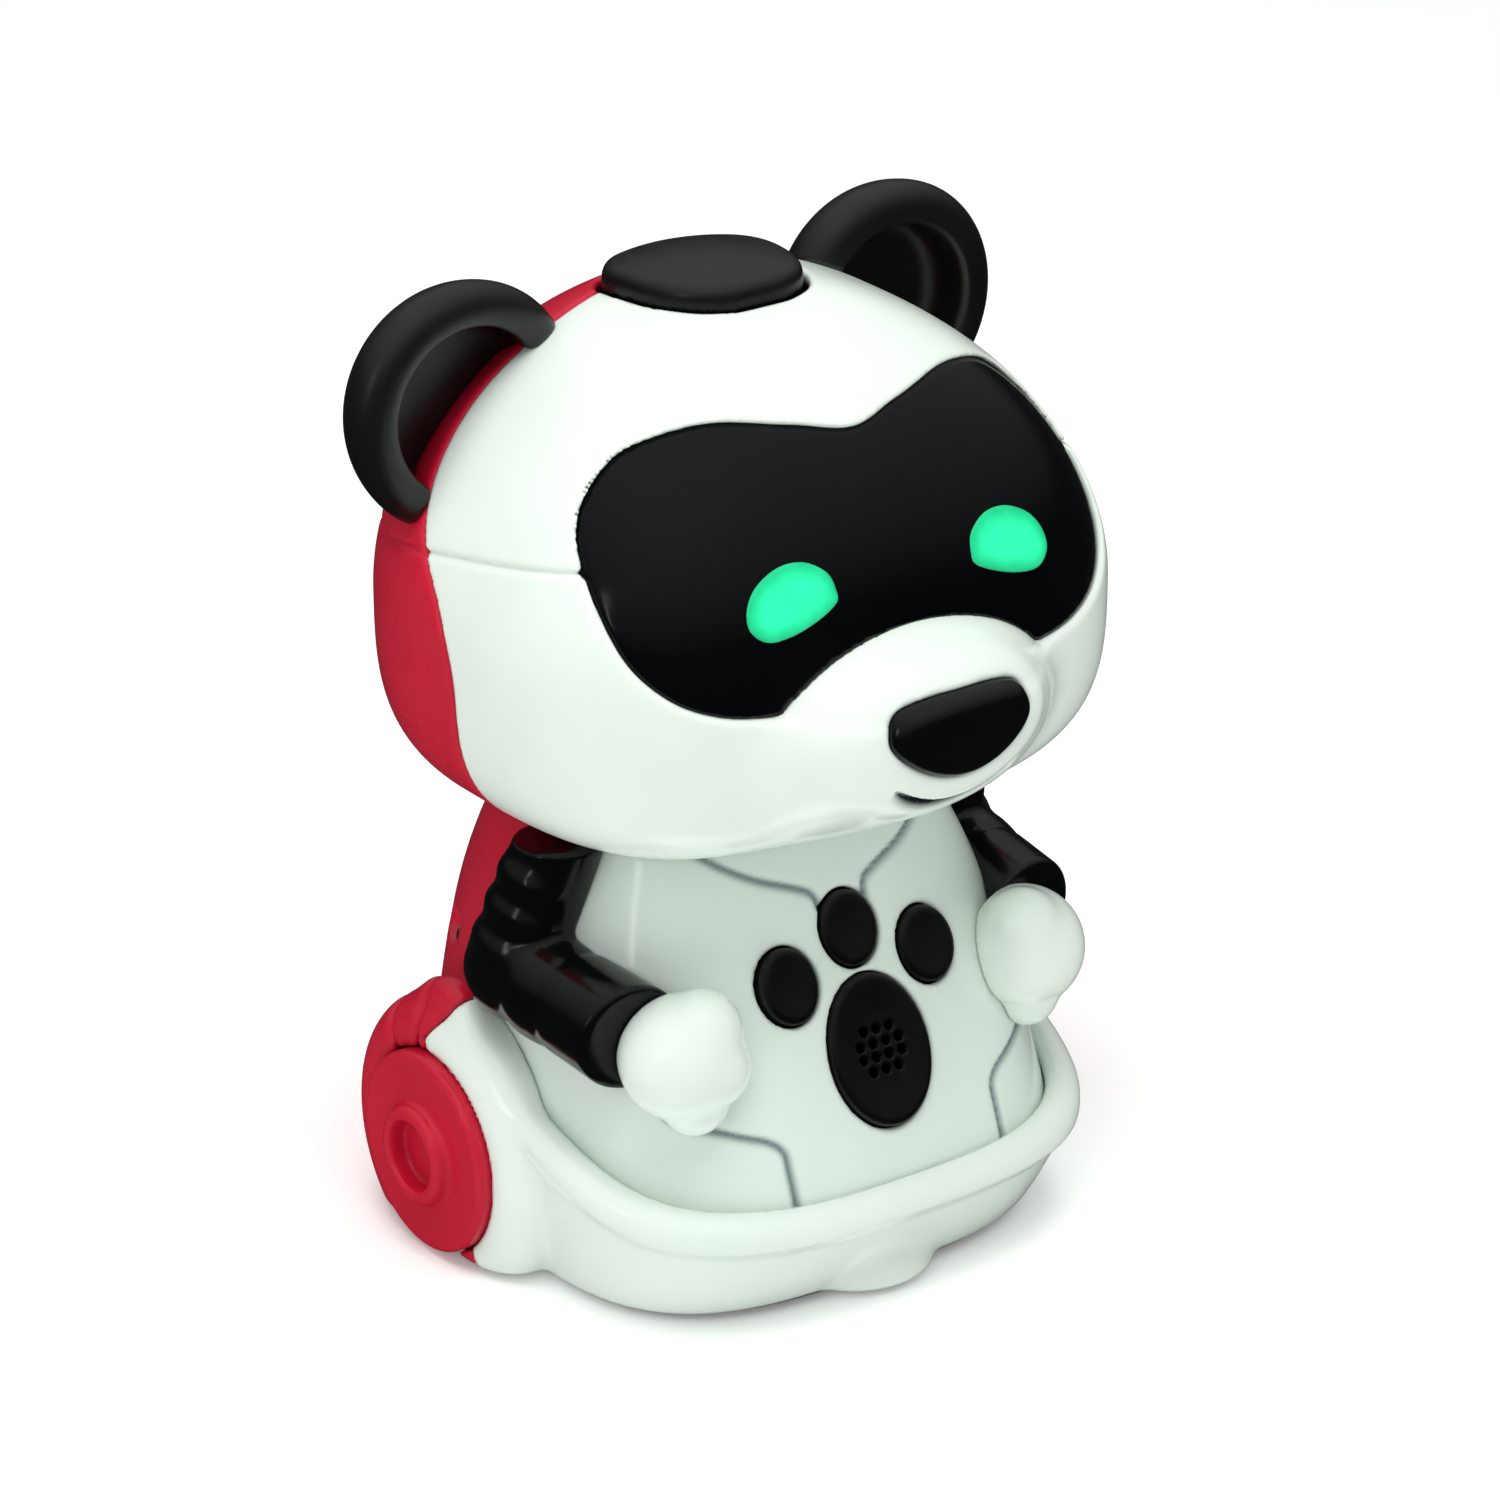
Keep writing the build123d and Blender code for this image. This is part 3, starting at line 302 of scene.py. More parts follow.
def surface_of(field, low, high, step):
    """Closed quad mesh of the field's zero surface: (points, faces)."""
    low = np.array(low, float) - 1.5 * step
    sizes = np.ceil((np.array(high, float) + 1.5 * step - low) / step).astype(int) + 1
    x, y, z = (low[k] + step * np.arange(sizes[k]) for k in range(3))
    value = np.broadcast_to(field(x[:, None, None], y[None, :, None], z[None, None, :]),
                            sizes).astype(np.float32)
    inside = value < 0
    nx, ny, nz = sizes - 1
    total = sum(inside[i:i + nx, j:j + ny, k:k + nz].astype(np.int8) for i, j, k in CORNERS)
    cells = np.argwhere((total > 0) & (total < 8))
    corner = np.stack([value[tuple((cells + c).T)] for c in CORNERS], 1)
    middle = np.zeros((len(cells), 3))
    crossings = np.zeros(len(cells))
    for a, b in EDGES:
        hit = (corner[:, a] < 0) != (corner[:, b] < 0)
        t = np.where(hit, corner[:, a] / np.where(hit, corner[:, a] - corner[:, b], 1), 0)[:, None]
        middle += np.where(hit[:, None], CORNERS[a] + t * (CORNERS[b] - CORNERS[a]), 0)
        crossings += hit
    points = low + step * (cells + middle / crossings[:, None])
    number = np.full((nx, ny, nz), -1, np.int64)
    number[tuple(cells.T)] = np.arange(len(cells))
    faces = []
    for axis in range(3):
        one, two = (axis + 1) % 3, (axis + 2) % 3
        start = [slice(1, -1)] * 3
        start[axis] = slice(0, -1)
        ahead = list(start)
        ahead[axis] = slice(1, None)
        here, there = inside[tuple(start)], inside[tuple(ahead)]
        where = np.argwhere(here != there)
        leaving = here[tuple(where.T)]
        base = where + 1
        base[:, axis] -= 1
        ring = []
        for back_one, back_two in ((0, 0), (1, 0), (1, 1), (0, 1)):
            cell = base.copy()
            cell[:, one] -= back_one
            cell[:, two] -= back_two
            ring.append(number[tuple(cell.T)])
        quad = np.stack(ring, 1)
        faces.append(np.where(leaving[:, None], quad, quad[:, ::-1]))
    faces = np.concatenate(faces)
    reach = 0.6 * step
    home = points.copy()
    for _ in range(NEWTON_STEPS):
        at = field(*points.T)
        slope = np.stack([(field(*(points + PROBE * np.eye(3)[k]).T) - at) / PROBE
                          for k in range(3)], 1)
        moved = points - (at / np.maximum((slope ** 2).sum(1), 0.2))[:, None] * slope
        moved = np.clip(moved, home - reach, home + reach)
        better = abs(field(*moved.T)) < abs(at)
        points = np.where(better[:, None], moved, points)
    return points, faces


def carve(name, field, low, high, step, skin, body, nodes, tint=None):
    """Mesh piece from a field; tint gives the mesh's groove attribute, which its material reads."""
    points, faces = surface_of(field, low, high, step)
    mesh = bpy.data.meshes.new(name)
    mesh.vertices.add(len(points))
    mesh.vertices.foreach_set("co", (points * MM).astype(np.float32).ravel())
    mesh.loops.add(4 * len(faces))
    mesh.loops.foreach_set("vertex_index", faces.astype(np.int32).ravel())
    mesh.polygons.add(len(faces))
    mesh.polygons.foreach_set("loop_start", np.arange(0, 4 * len(faces), 4, dtype=np.int32))
    mesh.update(calc_edges=True)
    mesh.validate()
    mesh.shade_smooth()
    if tint:
        marks = mesh.attributes.new("groove", "FLOAT", "POINT")
        marks.data.foreach_set("value", tint(*points.T).astype(np.float32))
    mesh.materials.append(skin)
    piece = bpy.data.objects.new(name, mesh)
    bpy.context.scene.collection.objects.link(piece)
    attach(piece, body)
    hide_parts(*nodes)


# ---------------------------------------------------------------- head
HEAD_Y = 9.0
HEAD_Z = 107.5
HEAD_HALF_WIDTH = 55.0
HEAD_DEPTH = (53.0, 48.0)             # front and back
HEAD_PLAN_POWER = (3.3, 2.0)
HEAD_REACH = (48.8, 34.3)             # above and below
HEAD_SIDE_POWER = (1.92, 3.4)
MUZZLE_Y = -24.0
MUZZLE_HALF = (29.5, 32.5, 18.0)
MUZZLE_POWER = 2.4
NOSE_PROUD = 1.3
VISOR_SUNK = 0.9
CROWN_PROUD = 2.7
WALL = 2.4
CROWN_SEAM_Z = 121.5
CROWN_SEAM_TILT = radians(9.4)
NECK_Y = 8.5
NECK_RADIUS = 18.0
SEAM_GAP = 0.17


def head(x, y, z):
    """The closed head form: boxier at the front and flatter below."""
    depth = np.where(y < HEAD_Y, *HEAD_DEPTH)
    plan = np.where(y < HEAD_Y, *HEAD_PLAN_POWER)
    reach = np.where(z > HEAD_Z, *HEAD_REACH)
    side = np.where(z > HEAD_Z, *HEAD_SIDE_POWER)
    ring = (abs(x) / HEAD_HALF_WIDTH) ** plan + (abs(y - HEAD_Y) / depth) ** plan
    size = (ring ** (side / plan) + (abs(z - HEAD_Z) / reach) ** side) ** (1 / side)
    return from_centre(np.sqrt(x ** 2 + (y - HEAD_Y) ** 2 + (z - HEAD_Z) ** 2), size)


def muzzle(x, y, z):
    """The bulge of the muzzle, which rises towards the nose."""
    middle = 96.3 + 0.17 * (-30 - y)
    ring = (x / MUZZLE_HALF[0]) ** 2 + ((z - middle) / MUZZLE_HALF[2]) ** 2
    along = abs(y - MUZZLE_Y) / MUZZLE_HALF[1]
    size = (ring ** (MUZZLE_POWER / 2) + along ** MUZZLE_POWER) ** (1 / MUZZLE_POWER)
    return from_centre(np.sqrt(x ** 2 + (y - MUZZLE_Y) ** 2 + (z - middle) ** 2), size)


SEAM = curve_through([(60, 0), (90, 0), (104, 0.4), (114, 4.5), (122, 11.5), (130, 16.0),
                      (140, 18.2), (150, 18), (170, 17.5)], closed=False)
visor_edge = flat_distance(curve_through(mirrored(
    [(0, 141.2), (10, 143.0), (22, 144.5), (32.5, 142.0), (39.8, 136.5), (44.3, 130), (45.8, 122.5),
     (44.5, 115.0), (40.0, 109.6), (33.5, 106.6), (26, 105.4), (18, 105), (9, 105), (0, 105)])))
nose_edge = flat_distance(curve_through(mirrored(
    [(0, 94.2), (5, 95.2), (9.5, 97.7), (12.7, 100.9), (12.9, 103.8), (10.9, 106.5), (5.6, 107.7),
     (0, 107.9)])))
eye_edge = flat_distance(curve_through(
    [(12.6, 122.2), (13.5, 124.9), (17, 127), (21.5, 127), (25.8, 124.9), (28.0, 121.9),
     (28.1, 118.9), (25.6, 116.9), (21.5, 117.1), (16.5, 118.6), (13, 120.4)]))
crown_edge = flat_distance(curve_through(mirrored(
    [(0, -4.0), (5.6, -3.6), (10.2, -1.2), (13.2, 4), (14.5, 11.5), (13.6, 19), (9.6, 24.4), (5, 26),
     (0, 26.4)])))


def crown_seam(y, z):
    """Height above the seam round the head."""
    return (y - HEAD_Y) * sin(CROWN_SEAM_TILT) + (z - CROWN_SEAM_Z) * cos(CROWN_SEAM_TILT)


def side_groove(x, y, z):
    """The seam round the head, from the visor's outer corner to the back."""
    outward = np.clip((abs(x) + 2 * np.maximum(y, 0) - 30) / 6, 0, 1)
    return 0.6 * ridge(crown_seam(y, z), 0.5) * outward


def smile(x, y, z):
    """Crescent below the nose: a crisp upper lip and a soft scoop under it."""
    below = 90.0 + 0.034 * x ** 2 - z
    length = np.sqrt(np.clip(1 - (x / 11.5) ** 2, 0, 1)) * np.clip((-38 - y) / 3, 0, 1)
    return np.clip(below / 0.5, 0, 1) * np.exp(-np.maximum(below - 0.8, 0) / 1.4) * length


def smile_shade(x, y, z):
    """Painted shade in the crescent's scoop: how dark it is, 0 to 1."""
    return np.clip(smile(x, y, z) * 2.4 - 0.2, 0, 1)


def openings(f, x, y, z):
    """Neck hole and crown button's well, cut through a head shell."""
    f = cut(f, np.maximum(np.hypot(x, y - NECK_Y) - NECK_RADIUS, z - 84), 0.8)
    return cut(f, np.maximum(crown_edge(x, y) - 0.7, 144 - z), 1.0)


def face(x, y, z):
    """The head with its muzzle."""
    return joined(head(x, y, z), muzzle(x, y, z), 5.0)


def white_head(x, y, z):
    skin = face(x, y, z)
    snout = nose_edge(x, z)
    f = skin + side_groove(x, y, z) + 2.4 * smile(x, y, z)
    f = f - 0.4 * ridge(snout - 3.0, 1.8) * np.clip((-42 - y) / 5, 0, 1)
    f = cut(f, np.maximum(snout + 0.1, -(skin + 1.5)), 1.2)
    window = common(common(visor_edge(x, z), y - 2, 2.0), 0.3 - muzzle(x, y, z), 1.2)
    f = cut(f, window, 1.6)
    f = np.maximum(f, -(skin + WALL))
    f = common(f, y - np.interp(z, *SEAM.T) + SEAM_GAP, 0.9)
    return openings(f, x, y, z)


SCREW_WELLS = ((-45.0, 100.0, 29.5), (45.0, 100.0, 29.5),
               (-22.0, 134.0, 37.0), (22.0, 134.0, 37.0))


def bored(f, skin, x, y, z, wells):
    """Screw bosses added inside a shell, and their wells cut from behind: (x, z, seat)."""
    for well_x, well_z, seat in wells:
        reach = np.hypot(x - well_x, z - well_z)
        f = np.minimum(f, np.maximum(np.maximum(reach - 4.4, seat - 1.6 - y), skin))
        f = cut(f, np.maximum(reach - 3.2, seat + 1.7 - y), 0.6)
    return f


def red_head(x, y, z):
    skin = head(x, y, z)
    f = np.maximum(skin + side_groove(x, y, z), -(skin + WALL))
    f = bored(f, skin, x, y, z, SCREW_WELLS)
    f = common(f, np.interp(z, *SEAM.T) + SEAM_GAP - y, 0.9)
    return openings(f, x, y, z)


def visor(x, y, z):
    skin = head(x, y, z)
    f = common(skin + VISOR_SUNK, visor_edge(x, z) - 0.15, 1.0)
    flange = np.maximum(skin + 2.6, visor_edge(x, z) - 3.0)
    f = np.maximum(np.minimum(f, flange), -(skin + 3.4))
    return np.maximum(np.maximum(f, 0.2 - muzzle(x, y, z)), y - 2)


def eye_shade(side):
    """Darker towards a window's edge."""
    return lambda x, y, z: np.clip(1 + eye_edge(side * x, z) / 2.6, 0, 1)


def eye(side):
    def field(x, y, z):
        skin = head(x, y, z)
        f = common(skin + 0.62, eye_edge(side * x, z), 0.7)
        return np.maximum(np.maximum(f, -(skin + 1.6)), y)
    return field


def nose(x, y, z):
    skin = face(x, y, z)
    f = common(skin - NOSE_PROUD, nose_edge(x, z), 2.6)
    return np.maximum(np.maximum(f, -(skin + 1.3)), y + 40)


def crown(x, y, z):
    skin = head(x, y, z)
    f = common(skin - CROWN_PROUD, crown_edge(x, y) + 0.3, 2.0)
    f = np.maximum(f, -(skin + 1.0))
    return np.minimum(f, np.maximum(np.hypot(x, y - HEAD_Y) - 3.0, abs(z - 152) - 3))


EAR_X, EAR_Z, EAR_RADIUS = 40.5, 140.0, 20.0
EAR_Y = (14.0, 28.0)
EAR_CUP = (13.2, 8.8)


def ear(side):
    def field(x, y, z):
        reach = np.hypot(x - side * EAR_X, z - EAR_Z)
        f = common(common(reach - EAR_RADIUS, y - EAR_Y[1], 13.0), EAR_Y[0] - y, 5.0)
        cup = common(reach - EAR_CUP[0], y - EAR_Y[0] - EAR_CUP[1], 4.0)
        f = cut(f, cup, 2.0)
        return cut(f, head(x, y, z) - 0.1, 0.4)
    return field


# ---------------------------------------------------------------- torso
TORSO_Y = 8.5
TORSO_TOP_Z = 72.9
TORSO = np.array([(10, 45.6, 53.5, 42.0), (18.6, 45, 52.2, 42), (30.5, 43.5, 47.8, 42),
                  (45.5, 41, 41.8, 40.5), (58.5, 37.5, 35.6, 38), (72.9, 31.5, 28.5, 33),
                  (80, 28, 24.5, 30)])
TORSO_CURVES = curve_through(TORSO, closed=False, steps=6)
CHEST_LEAN = radians(25.5)
CHEST_POINT = (0.0, -35.1, 40.3)
TOES = {"left": (13.3, 13.6), "middle": (0.0, 19.6), "right": (-13.3, 13.6)}
TOE_HALF = (5.2, 6.1)
TOE_GAP = 0.4
PAD_HALF = (9.3, 12.2)
PAD_GAP = 0.25
HOLE_ROWS = (3, 4, 4, 3)
HOLE_PITCH = 2.45
ROW_SPACING = 0.87                    # times the pitch
HOLE_RADIUS = 0.8


def torso(x, y, z):
    levels, half, front, rear = TORSO_CURVES.T
    width = np.interp(z, levels, half)
    depth = np.where(y < TORSO_Y, np.interp(z, levels, front), np.interp(z, levels, rear))
    power = np.where(y < TORSO_Y, 3.0, 2.3)
    size = ((abs(x) / width) ** power + (abs(y - TORSO_Y) / depth) ** power) ** (1 / power)
    return from_centre(np.hypot(x, y - TORSO_Y), size)


def on_chest(y, z):
    """Up and out on the chest's sloping plane, whose third direction is x."""
    dy, dz = y - CHEST_POINT[1], z - CHEST_POINT[2]
    up = dy * sin(CHEST_LEAN) + dz * cos(CHEST_LEAN)
    out = -dy * cos(CHEST_LEAN) + dz * sin(CHEST_LEAN)
    return up, out


def oval_reach(u, v, half):
    """Approximate distance to an ellipse."""
    size = np.sqrt((u / half[0]) ** 2 + (v / half[1]) ** 2)
    return from_centre(np.hypot(u, v), size)


CHEST_LINES = [flat_distance(curve_through(points, closed=False), closed=False) for points in (
    [(25.5, 75.5), (20, 71.2), (14.5, 68.1), (8.5, 65.8), (5.2, 64.2), (4.3, 62)],
    [(20.2, 15.0), (20.2, 26.5), (20.4, 29.4), (22.4, 31.2), (26, 32.4), (34.5, 35.2)])]


def chest_lines(x, y, z):
    near = np.minimum(CHEST_LINES[0](abs(x), z), CHEST_LINES[1](abs(x), z))
    return ridge(near, 0.62) * (y < 0)


BODY_SEAM = np.array([(0, 3), (36, 17), (45, 10), (50, 3), (80, 3)])     # z and y
TORSO_WELLS = ((-35.5, 47.0, 24.5), (35.5, 47.0, 24.5))
AXLE_Y, AXLE_Z = 15.1, 17.3
WHEEL_SPACE = 18.2
LIP_RADIUS = 17.0
WELL_X = (45.4, 49.3)
SHELF_Z = 18.7


def body_seam(y, z):
    """Side-view line between the white and red shells of the body, positive behind it."""
    return y - np.interp(z, *BODY_SEAM.T)


def wheel_space(x, y, z):
    """Room for a wheel: a well for the tyre and a close round lip at the disc."""
    reach = np.hypot(y - AXLE_Y, z - AXLE_Z)
    tyre = np.maximum(reach - WHEEL_SPACE, np.maximum(WELL_X[0] - abs(x), abs(x) - WELL_X[1]))
    lip = np.maximum(reach - LIP_RADIUS, WELL_X[0] - abs(x))
    return np.minimum(tyre, lip)


def torso_shell(f, skin, x, y, z):
    f = np.maximum(f, -(skin + WALL))
    f = common(f, z - TORSO_TOP_Z, 1.5)
    f = np.maximum(f, SHELF_Z - z)
    return cut(f, wheel_space(x, y, z), 0.4)


def white_torso(x, y, z):
    skin = torso(x, y, z)
    up, out = on_chest(y, z)
    f = skin + 0.75 * chest_lines(x, y, z)
    f = torso_shell(f, skin, x, y, z)
    for toe_x, toe_up in TOES.values():
        hole = oval_reach(x - toe_x, up - toe_up, np.add(TOE_HALF, TOE_GAP))
        f = cut(f, np.maximum(hole, -4 - out), 0.8)
    hole = oval_reach(x, up, np.add(PAD_HALF, PAD_GAP))
    f = cut(f, np.maximum(hole, -4 - out), 0.8)
    return common(f, body_seam(y, z) + SEAM_GAP, 0.8)


def red_torso(x, y, z):
    skin = torso(x, y, z)
    f = torso_shell(skin, skin, x, y, z)
    f = bored(f, skin, x, y, z, TORSO_WELLS)
    return common(f, SEAM_GAP - body_seam(y, z), 0.8)


def toe(name):
    toe_x, toe_up = TOES[name]

    def field(x, y, z):
        up, out = on_chest(y, z)
        edge = oval_reach(x - toe_x, up - toe_up, TOE_HALF)
        dish = 0.9 + 0.3 * np.clip(edge / 5 + 0.9, 0, 1)
        return np.maximum(common(edge, out - dish, 1.3), -3 - out)
    return field


def speaker(x, y, z):
    up, out = on_chest(y, z)
    edge = oval_reach(x, up, PAD_HALF)
    f = np.maximum(common(edge, out - 1.1 + 0.4 * np.clip(-edge / 6, 0, 1), 1.3), -2.4 - out)
    for row, holes in enumerate(HOLE_ROWS):
        for index in range(holes):
            hole_x = (index - (holes - 1) / 2) * HOLE_PITCH
            hole_up = (1.5 - row) * HOLE_PITCH * ROW_SPACING
            hole = np.hypot(x - hole_x, up - hole_up) - HOLE_RADIUS
            f = cut(f, hole, 0.25)
    return f


# ---------------------------------------------------------------- arms and hands
SHOULDER = (35.5, 0.0, 73.0)
ELBOW = (41.6, 3.4, 51.5)
WRIST = (38.8, -23.2, 48.8)
HAND = (33.4, -28.8, 46.3)
ARM_RADII = (7.0, 8.0, 8.8)           # shoulder, elbow and wrist
SLEEVE_TOP_Z = 73.2
TORSO_GAP = 0.12


def limb(x, y, z, a, b):
    """Distance to a straight line between two points, and how far along it, 0 to 1."""
    d = np.subtract(b, a)
    t = np.clip(((x - a[0]) * d[0] + (y - a[1]) * d[1] + (z - a[2]) * d[2]) / (d @ d), 0, 1)
    off = np.sqrt((x - a[0] - t * d[0]) ** 2 + (y - a[1] - t * d[1]) ** 2
                  + (z - a[2] - t * d[2]) ** 2)
    return off, t


def past_cuff(x, y, z):
    """How far a point lies beyond the wrist, along the forearm."""
    return (x - WRIST[0]) * 0.12 + (WRIST[1] - y) * 0.99 + (z - WRIST[2]) * -0.07


def arm(side):
    def field(x, y, z):
        x = side * x
        upper, along_upper = limb(x, y, z, SHOULDER, ELBOW)
        fore, along_fore = limb(x, y, z, ELBOW, WRIST)
        outside = np.clip((x - 38) / 6, 0, 1)
        folds = sum(ridge(along_upper - place, 0.1) for place in (0.3, 0.56, 0.82))
        crease = ridge(along_fore - 0.16, 0.05) + 0.6 * ridge(along_fore - 0.5, 0.035)
        upper = upper - ARM_RADII[0] - (ARM_RADII[1] - ARM_RADII[0]) * along_upper
        upper = upper - 0.8 * folds * outside
        fore = fore - ARM_RADII[1] - (ARM_RADII[2] - ARM_RADII[1]) * along_fore
        fore = fore + 0.35 * crease - 0.4 * ridge(along_fore - 0.32, 0.12)
        f = joined(upper, fore, 2.0)
        f = common(f, z - SLEEVE_TOP_Z, 0.6)
        f = common(f, past_cuff(x, y, z) - 0.4, 1.2)
        return cut(f, torso(x, y, z) - TORSO_GAP, 0.3)
    return field


LOBES = (((0, 0, 0), 9.9), ((-2.2, -2.4, 4.8), 6.4), ((-2.9, -3.3, -1.2), 6.5),
         ((-1.0, -2.0, -7.0), 5.4))


def hand(side):
    def field(x, y, z):
        x = side * x
        f = None
        for (dx, dy, dz), radius in LOBES:
            lobe = np.sqrt((x - HAND[0] - dx) ** 2 + (y - HAND[1] - dy) ** 2
                           + (z - HAND[2] - dz) ** 2) - radius
            f = lobe if f is None else joined(f, lobe, 1.0)
        f = np.maximum(f, 0.6 - past_cuff(x, y, z))
        return cut(f, torso(x, y, z) - TORSO_GAP, 0.3)
    return field


# ---------------------------------------------------------------- base
BASE_Y = 2.0
BASE_BOTTOM_Z = 1.2
RIM_TOP = curve_through([(-50, 20.5), (-30, 23.6), (-15, 28.0), (-2, 33.0), (5, 39.0), (10, 43.8),
                         (16, 45.2), (23, 42.5), (31, 34.5), (39, 25.0), (46, 17.5), (55, 14.0)],
                        closed=False)
BASE_POWER = 3.2
RIM_RADIUS = 3.1
RIM_DROP = 3.2
FENDER_RADII = (18.4, 6.6)            # of its ring and of its tube
FENDER_X = (36.0, 44.3)
CASTER_BUMP = (12.8, 12.2, 11.5)
CASTER_BUMP_PLACE = (-29.3, 1.2)
BALL = (-30.5, 6.0, 7.4)              # y, z and radius of its room


def base_skin(x, y, z):
    """Outside of the skirt, with its rim and the fender over each wheel."""
    rise = np.clip((z - BASE_BOTTOM_Z) / 16.0, 0, 1) ** 0.8
    width = 42.5 + 4.6 * rise
    depth = np.where(y < BASE_Y, 37.5 + 9.5 * rise, 45.0 + 2.6 * rise)
    size = (abs(x) / width) ** BASE_POWER + (abs(y - BASE_Y) / depth) ** BASE_POWER
    wall = from_centre(np.hypot(x, y - BASE_Y), size ** (1 / BASE_POWER))
    top = np.interp(y, *RIM_TOP.T)
    body = np.maximum(wall, z - top + RIM_DROP)
    rim = np.hypot(wall + 1.5, np.maximum(abs(z - top + RIM_DROP) - 0.4, 0)) - RIM_RADIUS
    f = joined(body, rim, 1.6)
    reach = np.hypot(y - AXLE_Y, z - AXLE_Z)
    over = np.maximum(reach - FENDER_RADII[0], 0)
    tube = np.hypot(over, np.maximum(abs(x) - FENDER_X[1], 0)) - FENDER_RADII[1]
    fender = np.maximum(tube, FENDER_X[0] - abs(x))
    f = joined(f, fender, 1.5)
    offsets = (x, y - CASTER_BUMP_PLACE[0], z - CASTER_BUMP_PLACE[1])
    size = np.sqrt(sum((offset / half) ** 2 for offset, half in zip(offsets, CASTER_BUMP)))
    return joined(f, (size - 1) * 12, 1.6)


def base_shell(x, y, z):
    skin = base_skin(x, y, z)
    f = common(skin, BASE_BOTTOM_Z - z, 1.2)
    bay = np.maximum(skin + WALL, z - 19.5)
    f = cut(f, bay, 0.5)
    f = cut(f, np.maximum(torso(x, y, z) - 0.15, 18.5 - z), 0.5)
    return cut(f, wheel_space(x, y, z), 0.5)


def white_base(x, y, z):
    f = base_shell(x, y, z)
    ball = np.sqrt(x ** 2 + (y - BALL[0]) ** 2 + (z - BALL[1]) ** 2) - BALL[2]
    f = cut(f, np.maximum(ball, z - 14), 0.4)
    return common(f, body_seam(y, z) + SEAM_GAP, 0.8)


def red_base(x, y, z):
    f = base_shell(x, y, z)
    fan = np.arctan2(z - AXLE_Z, y - AXLE_Y)
    steps = ridge(fan - 1.35, 0.035) + ridge(fan - 0.95, 0.035)
    f = f + 0.8 * steps * (z > 22)
    return common(f, SEAM_GAP - body_seam(y, z), 0.8)


# ---------------------------------------------------------------- wheels
DISC_RADIUS = 16.65
DISC_X = (49.5, 52.9)
HUB = (8.2, 5.8, 55.4)                # ring radius, recess radius and outer x
DRUM_RADIUS = 14.5
BOSS_RADIUS = 4.0
AXLE_HOLE_RADIUS = 1.55


def wheel(side):
    def field(x, y, z):
        x = side * x
        reach = np.hypot(y - AXLE_Y, z - AXLE_Z)
        f = np.maximum(common(reach - DISC_RADIUS, x - DISC_X[1], 1.3), DISC_X[0] - x)
        ring = common(reach - HUB[0], x - HUB[2], 1.6)
        f = joined(f, np.maximum(ring, DISC_X[0] - x), 1.4)
        f = cut(f, common(reach - HUB[1], DISC_X[1] - 0.9 - x, 0.8), 1.0)
        drum = np.maximum(reach - DRUM_RADIUS, np.maximum(45.7 - x, x - 50))
        boss = np.maximum(reach - BOSS_RADIUS, np.maximum(40.6 - x, x - 50))
        f = np.minimum(np.minimum(f, drum), boss)
        return cut(f, np.maximum(reach - AXLE_HOLE_RADIUS, x - 50.9), 0.2)
    return field


# ---------------------------------------------------------------- pieces
white = SKIN["white_gloss"]
red = SKIN["red_gloss"]
# head_front carries painted shade in the mouth's scoop, through smile_shade and white_smile
carve("head_front", white_head, (-56, -58, 72), (56, 23, 157), 0.55, SKIN["white_smile"], "robot",
      ["head_front_upper", "head_front_lower"],
      smile_shade)
carve("head_back", red_head, (-56, -1, 72), (56, 58, 157), 0.8, red, "robot",
      ["head_back_upper", "head_back_lower"])
carve("visor", visor, (-48, -47, 103), (48, 3, 147), 0.55, SKIN["visor_black"], "robot",
      ["face_visor"])
carve("nose", nose, (-14, -60, 92), (14, -44, 112), 0.35, SKIN["black_gloss"], "robot",
      ["nose_cap"])
carve("crown_pad", crown, (-16, -6, 144), (16, 28, 162), 0.4, SKIN["black_satin"], "crown_button",
      ["crown_button"])
carve("torso_front_shell", white_torso, (-46, -46, 17), (46, 18, 74), 0.6, SKIN["white_lined"],
      "robot", ["torso_front"], chest_lines)
carve("torso_back_shell", red_torso, (-46, 1, 17), (46, 52, 74), 0.7, red, "robot",
      ["torso_back"])
carve("base_front_shell", white_base, (-52, -52, 0), (52, 18, 48), 0.7, white, "robot",
      ["base_front"])
carve("base_back_shell", red_base, (-52, 2, 0), (52, 52, 48), 0.7, red, "robot",
      ["base_back"])
carve("speaker_grille", speaker, (-10, -48, 27), (10, -28, 54), 0.3, SKIN["pad_black"],
      "robot", ["speaker_pad"])
for toe_name, (toe_x, toe_up) in TOES.items():
    centre = (toe_x, CHEST_POINT[1] + toe_up * sin(CHEST_LEAN),
              CHEST_POINT[2] + toe_up * cos(CHEST_LEAN))
    carve(f"toe_pad_{toe_name}", toe(toe_name), np.subtract(centre, 8), np.add(centre, 8), 0.3,
          SKIN["pad_black"], f"toe_{toe_name}", [f"toe_button_{toe_name}"])
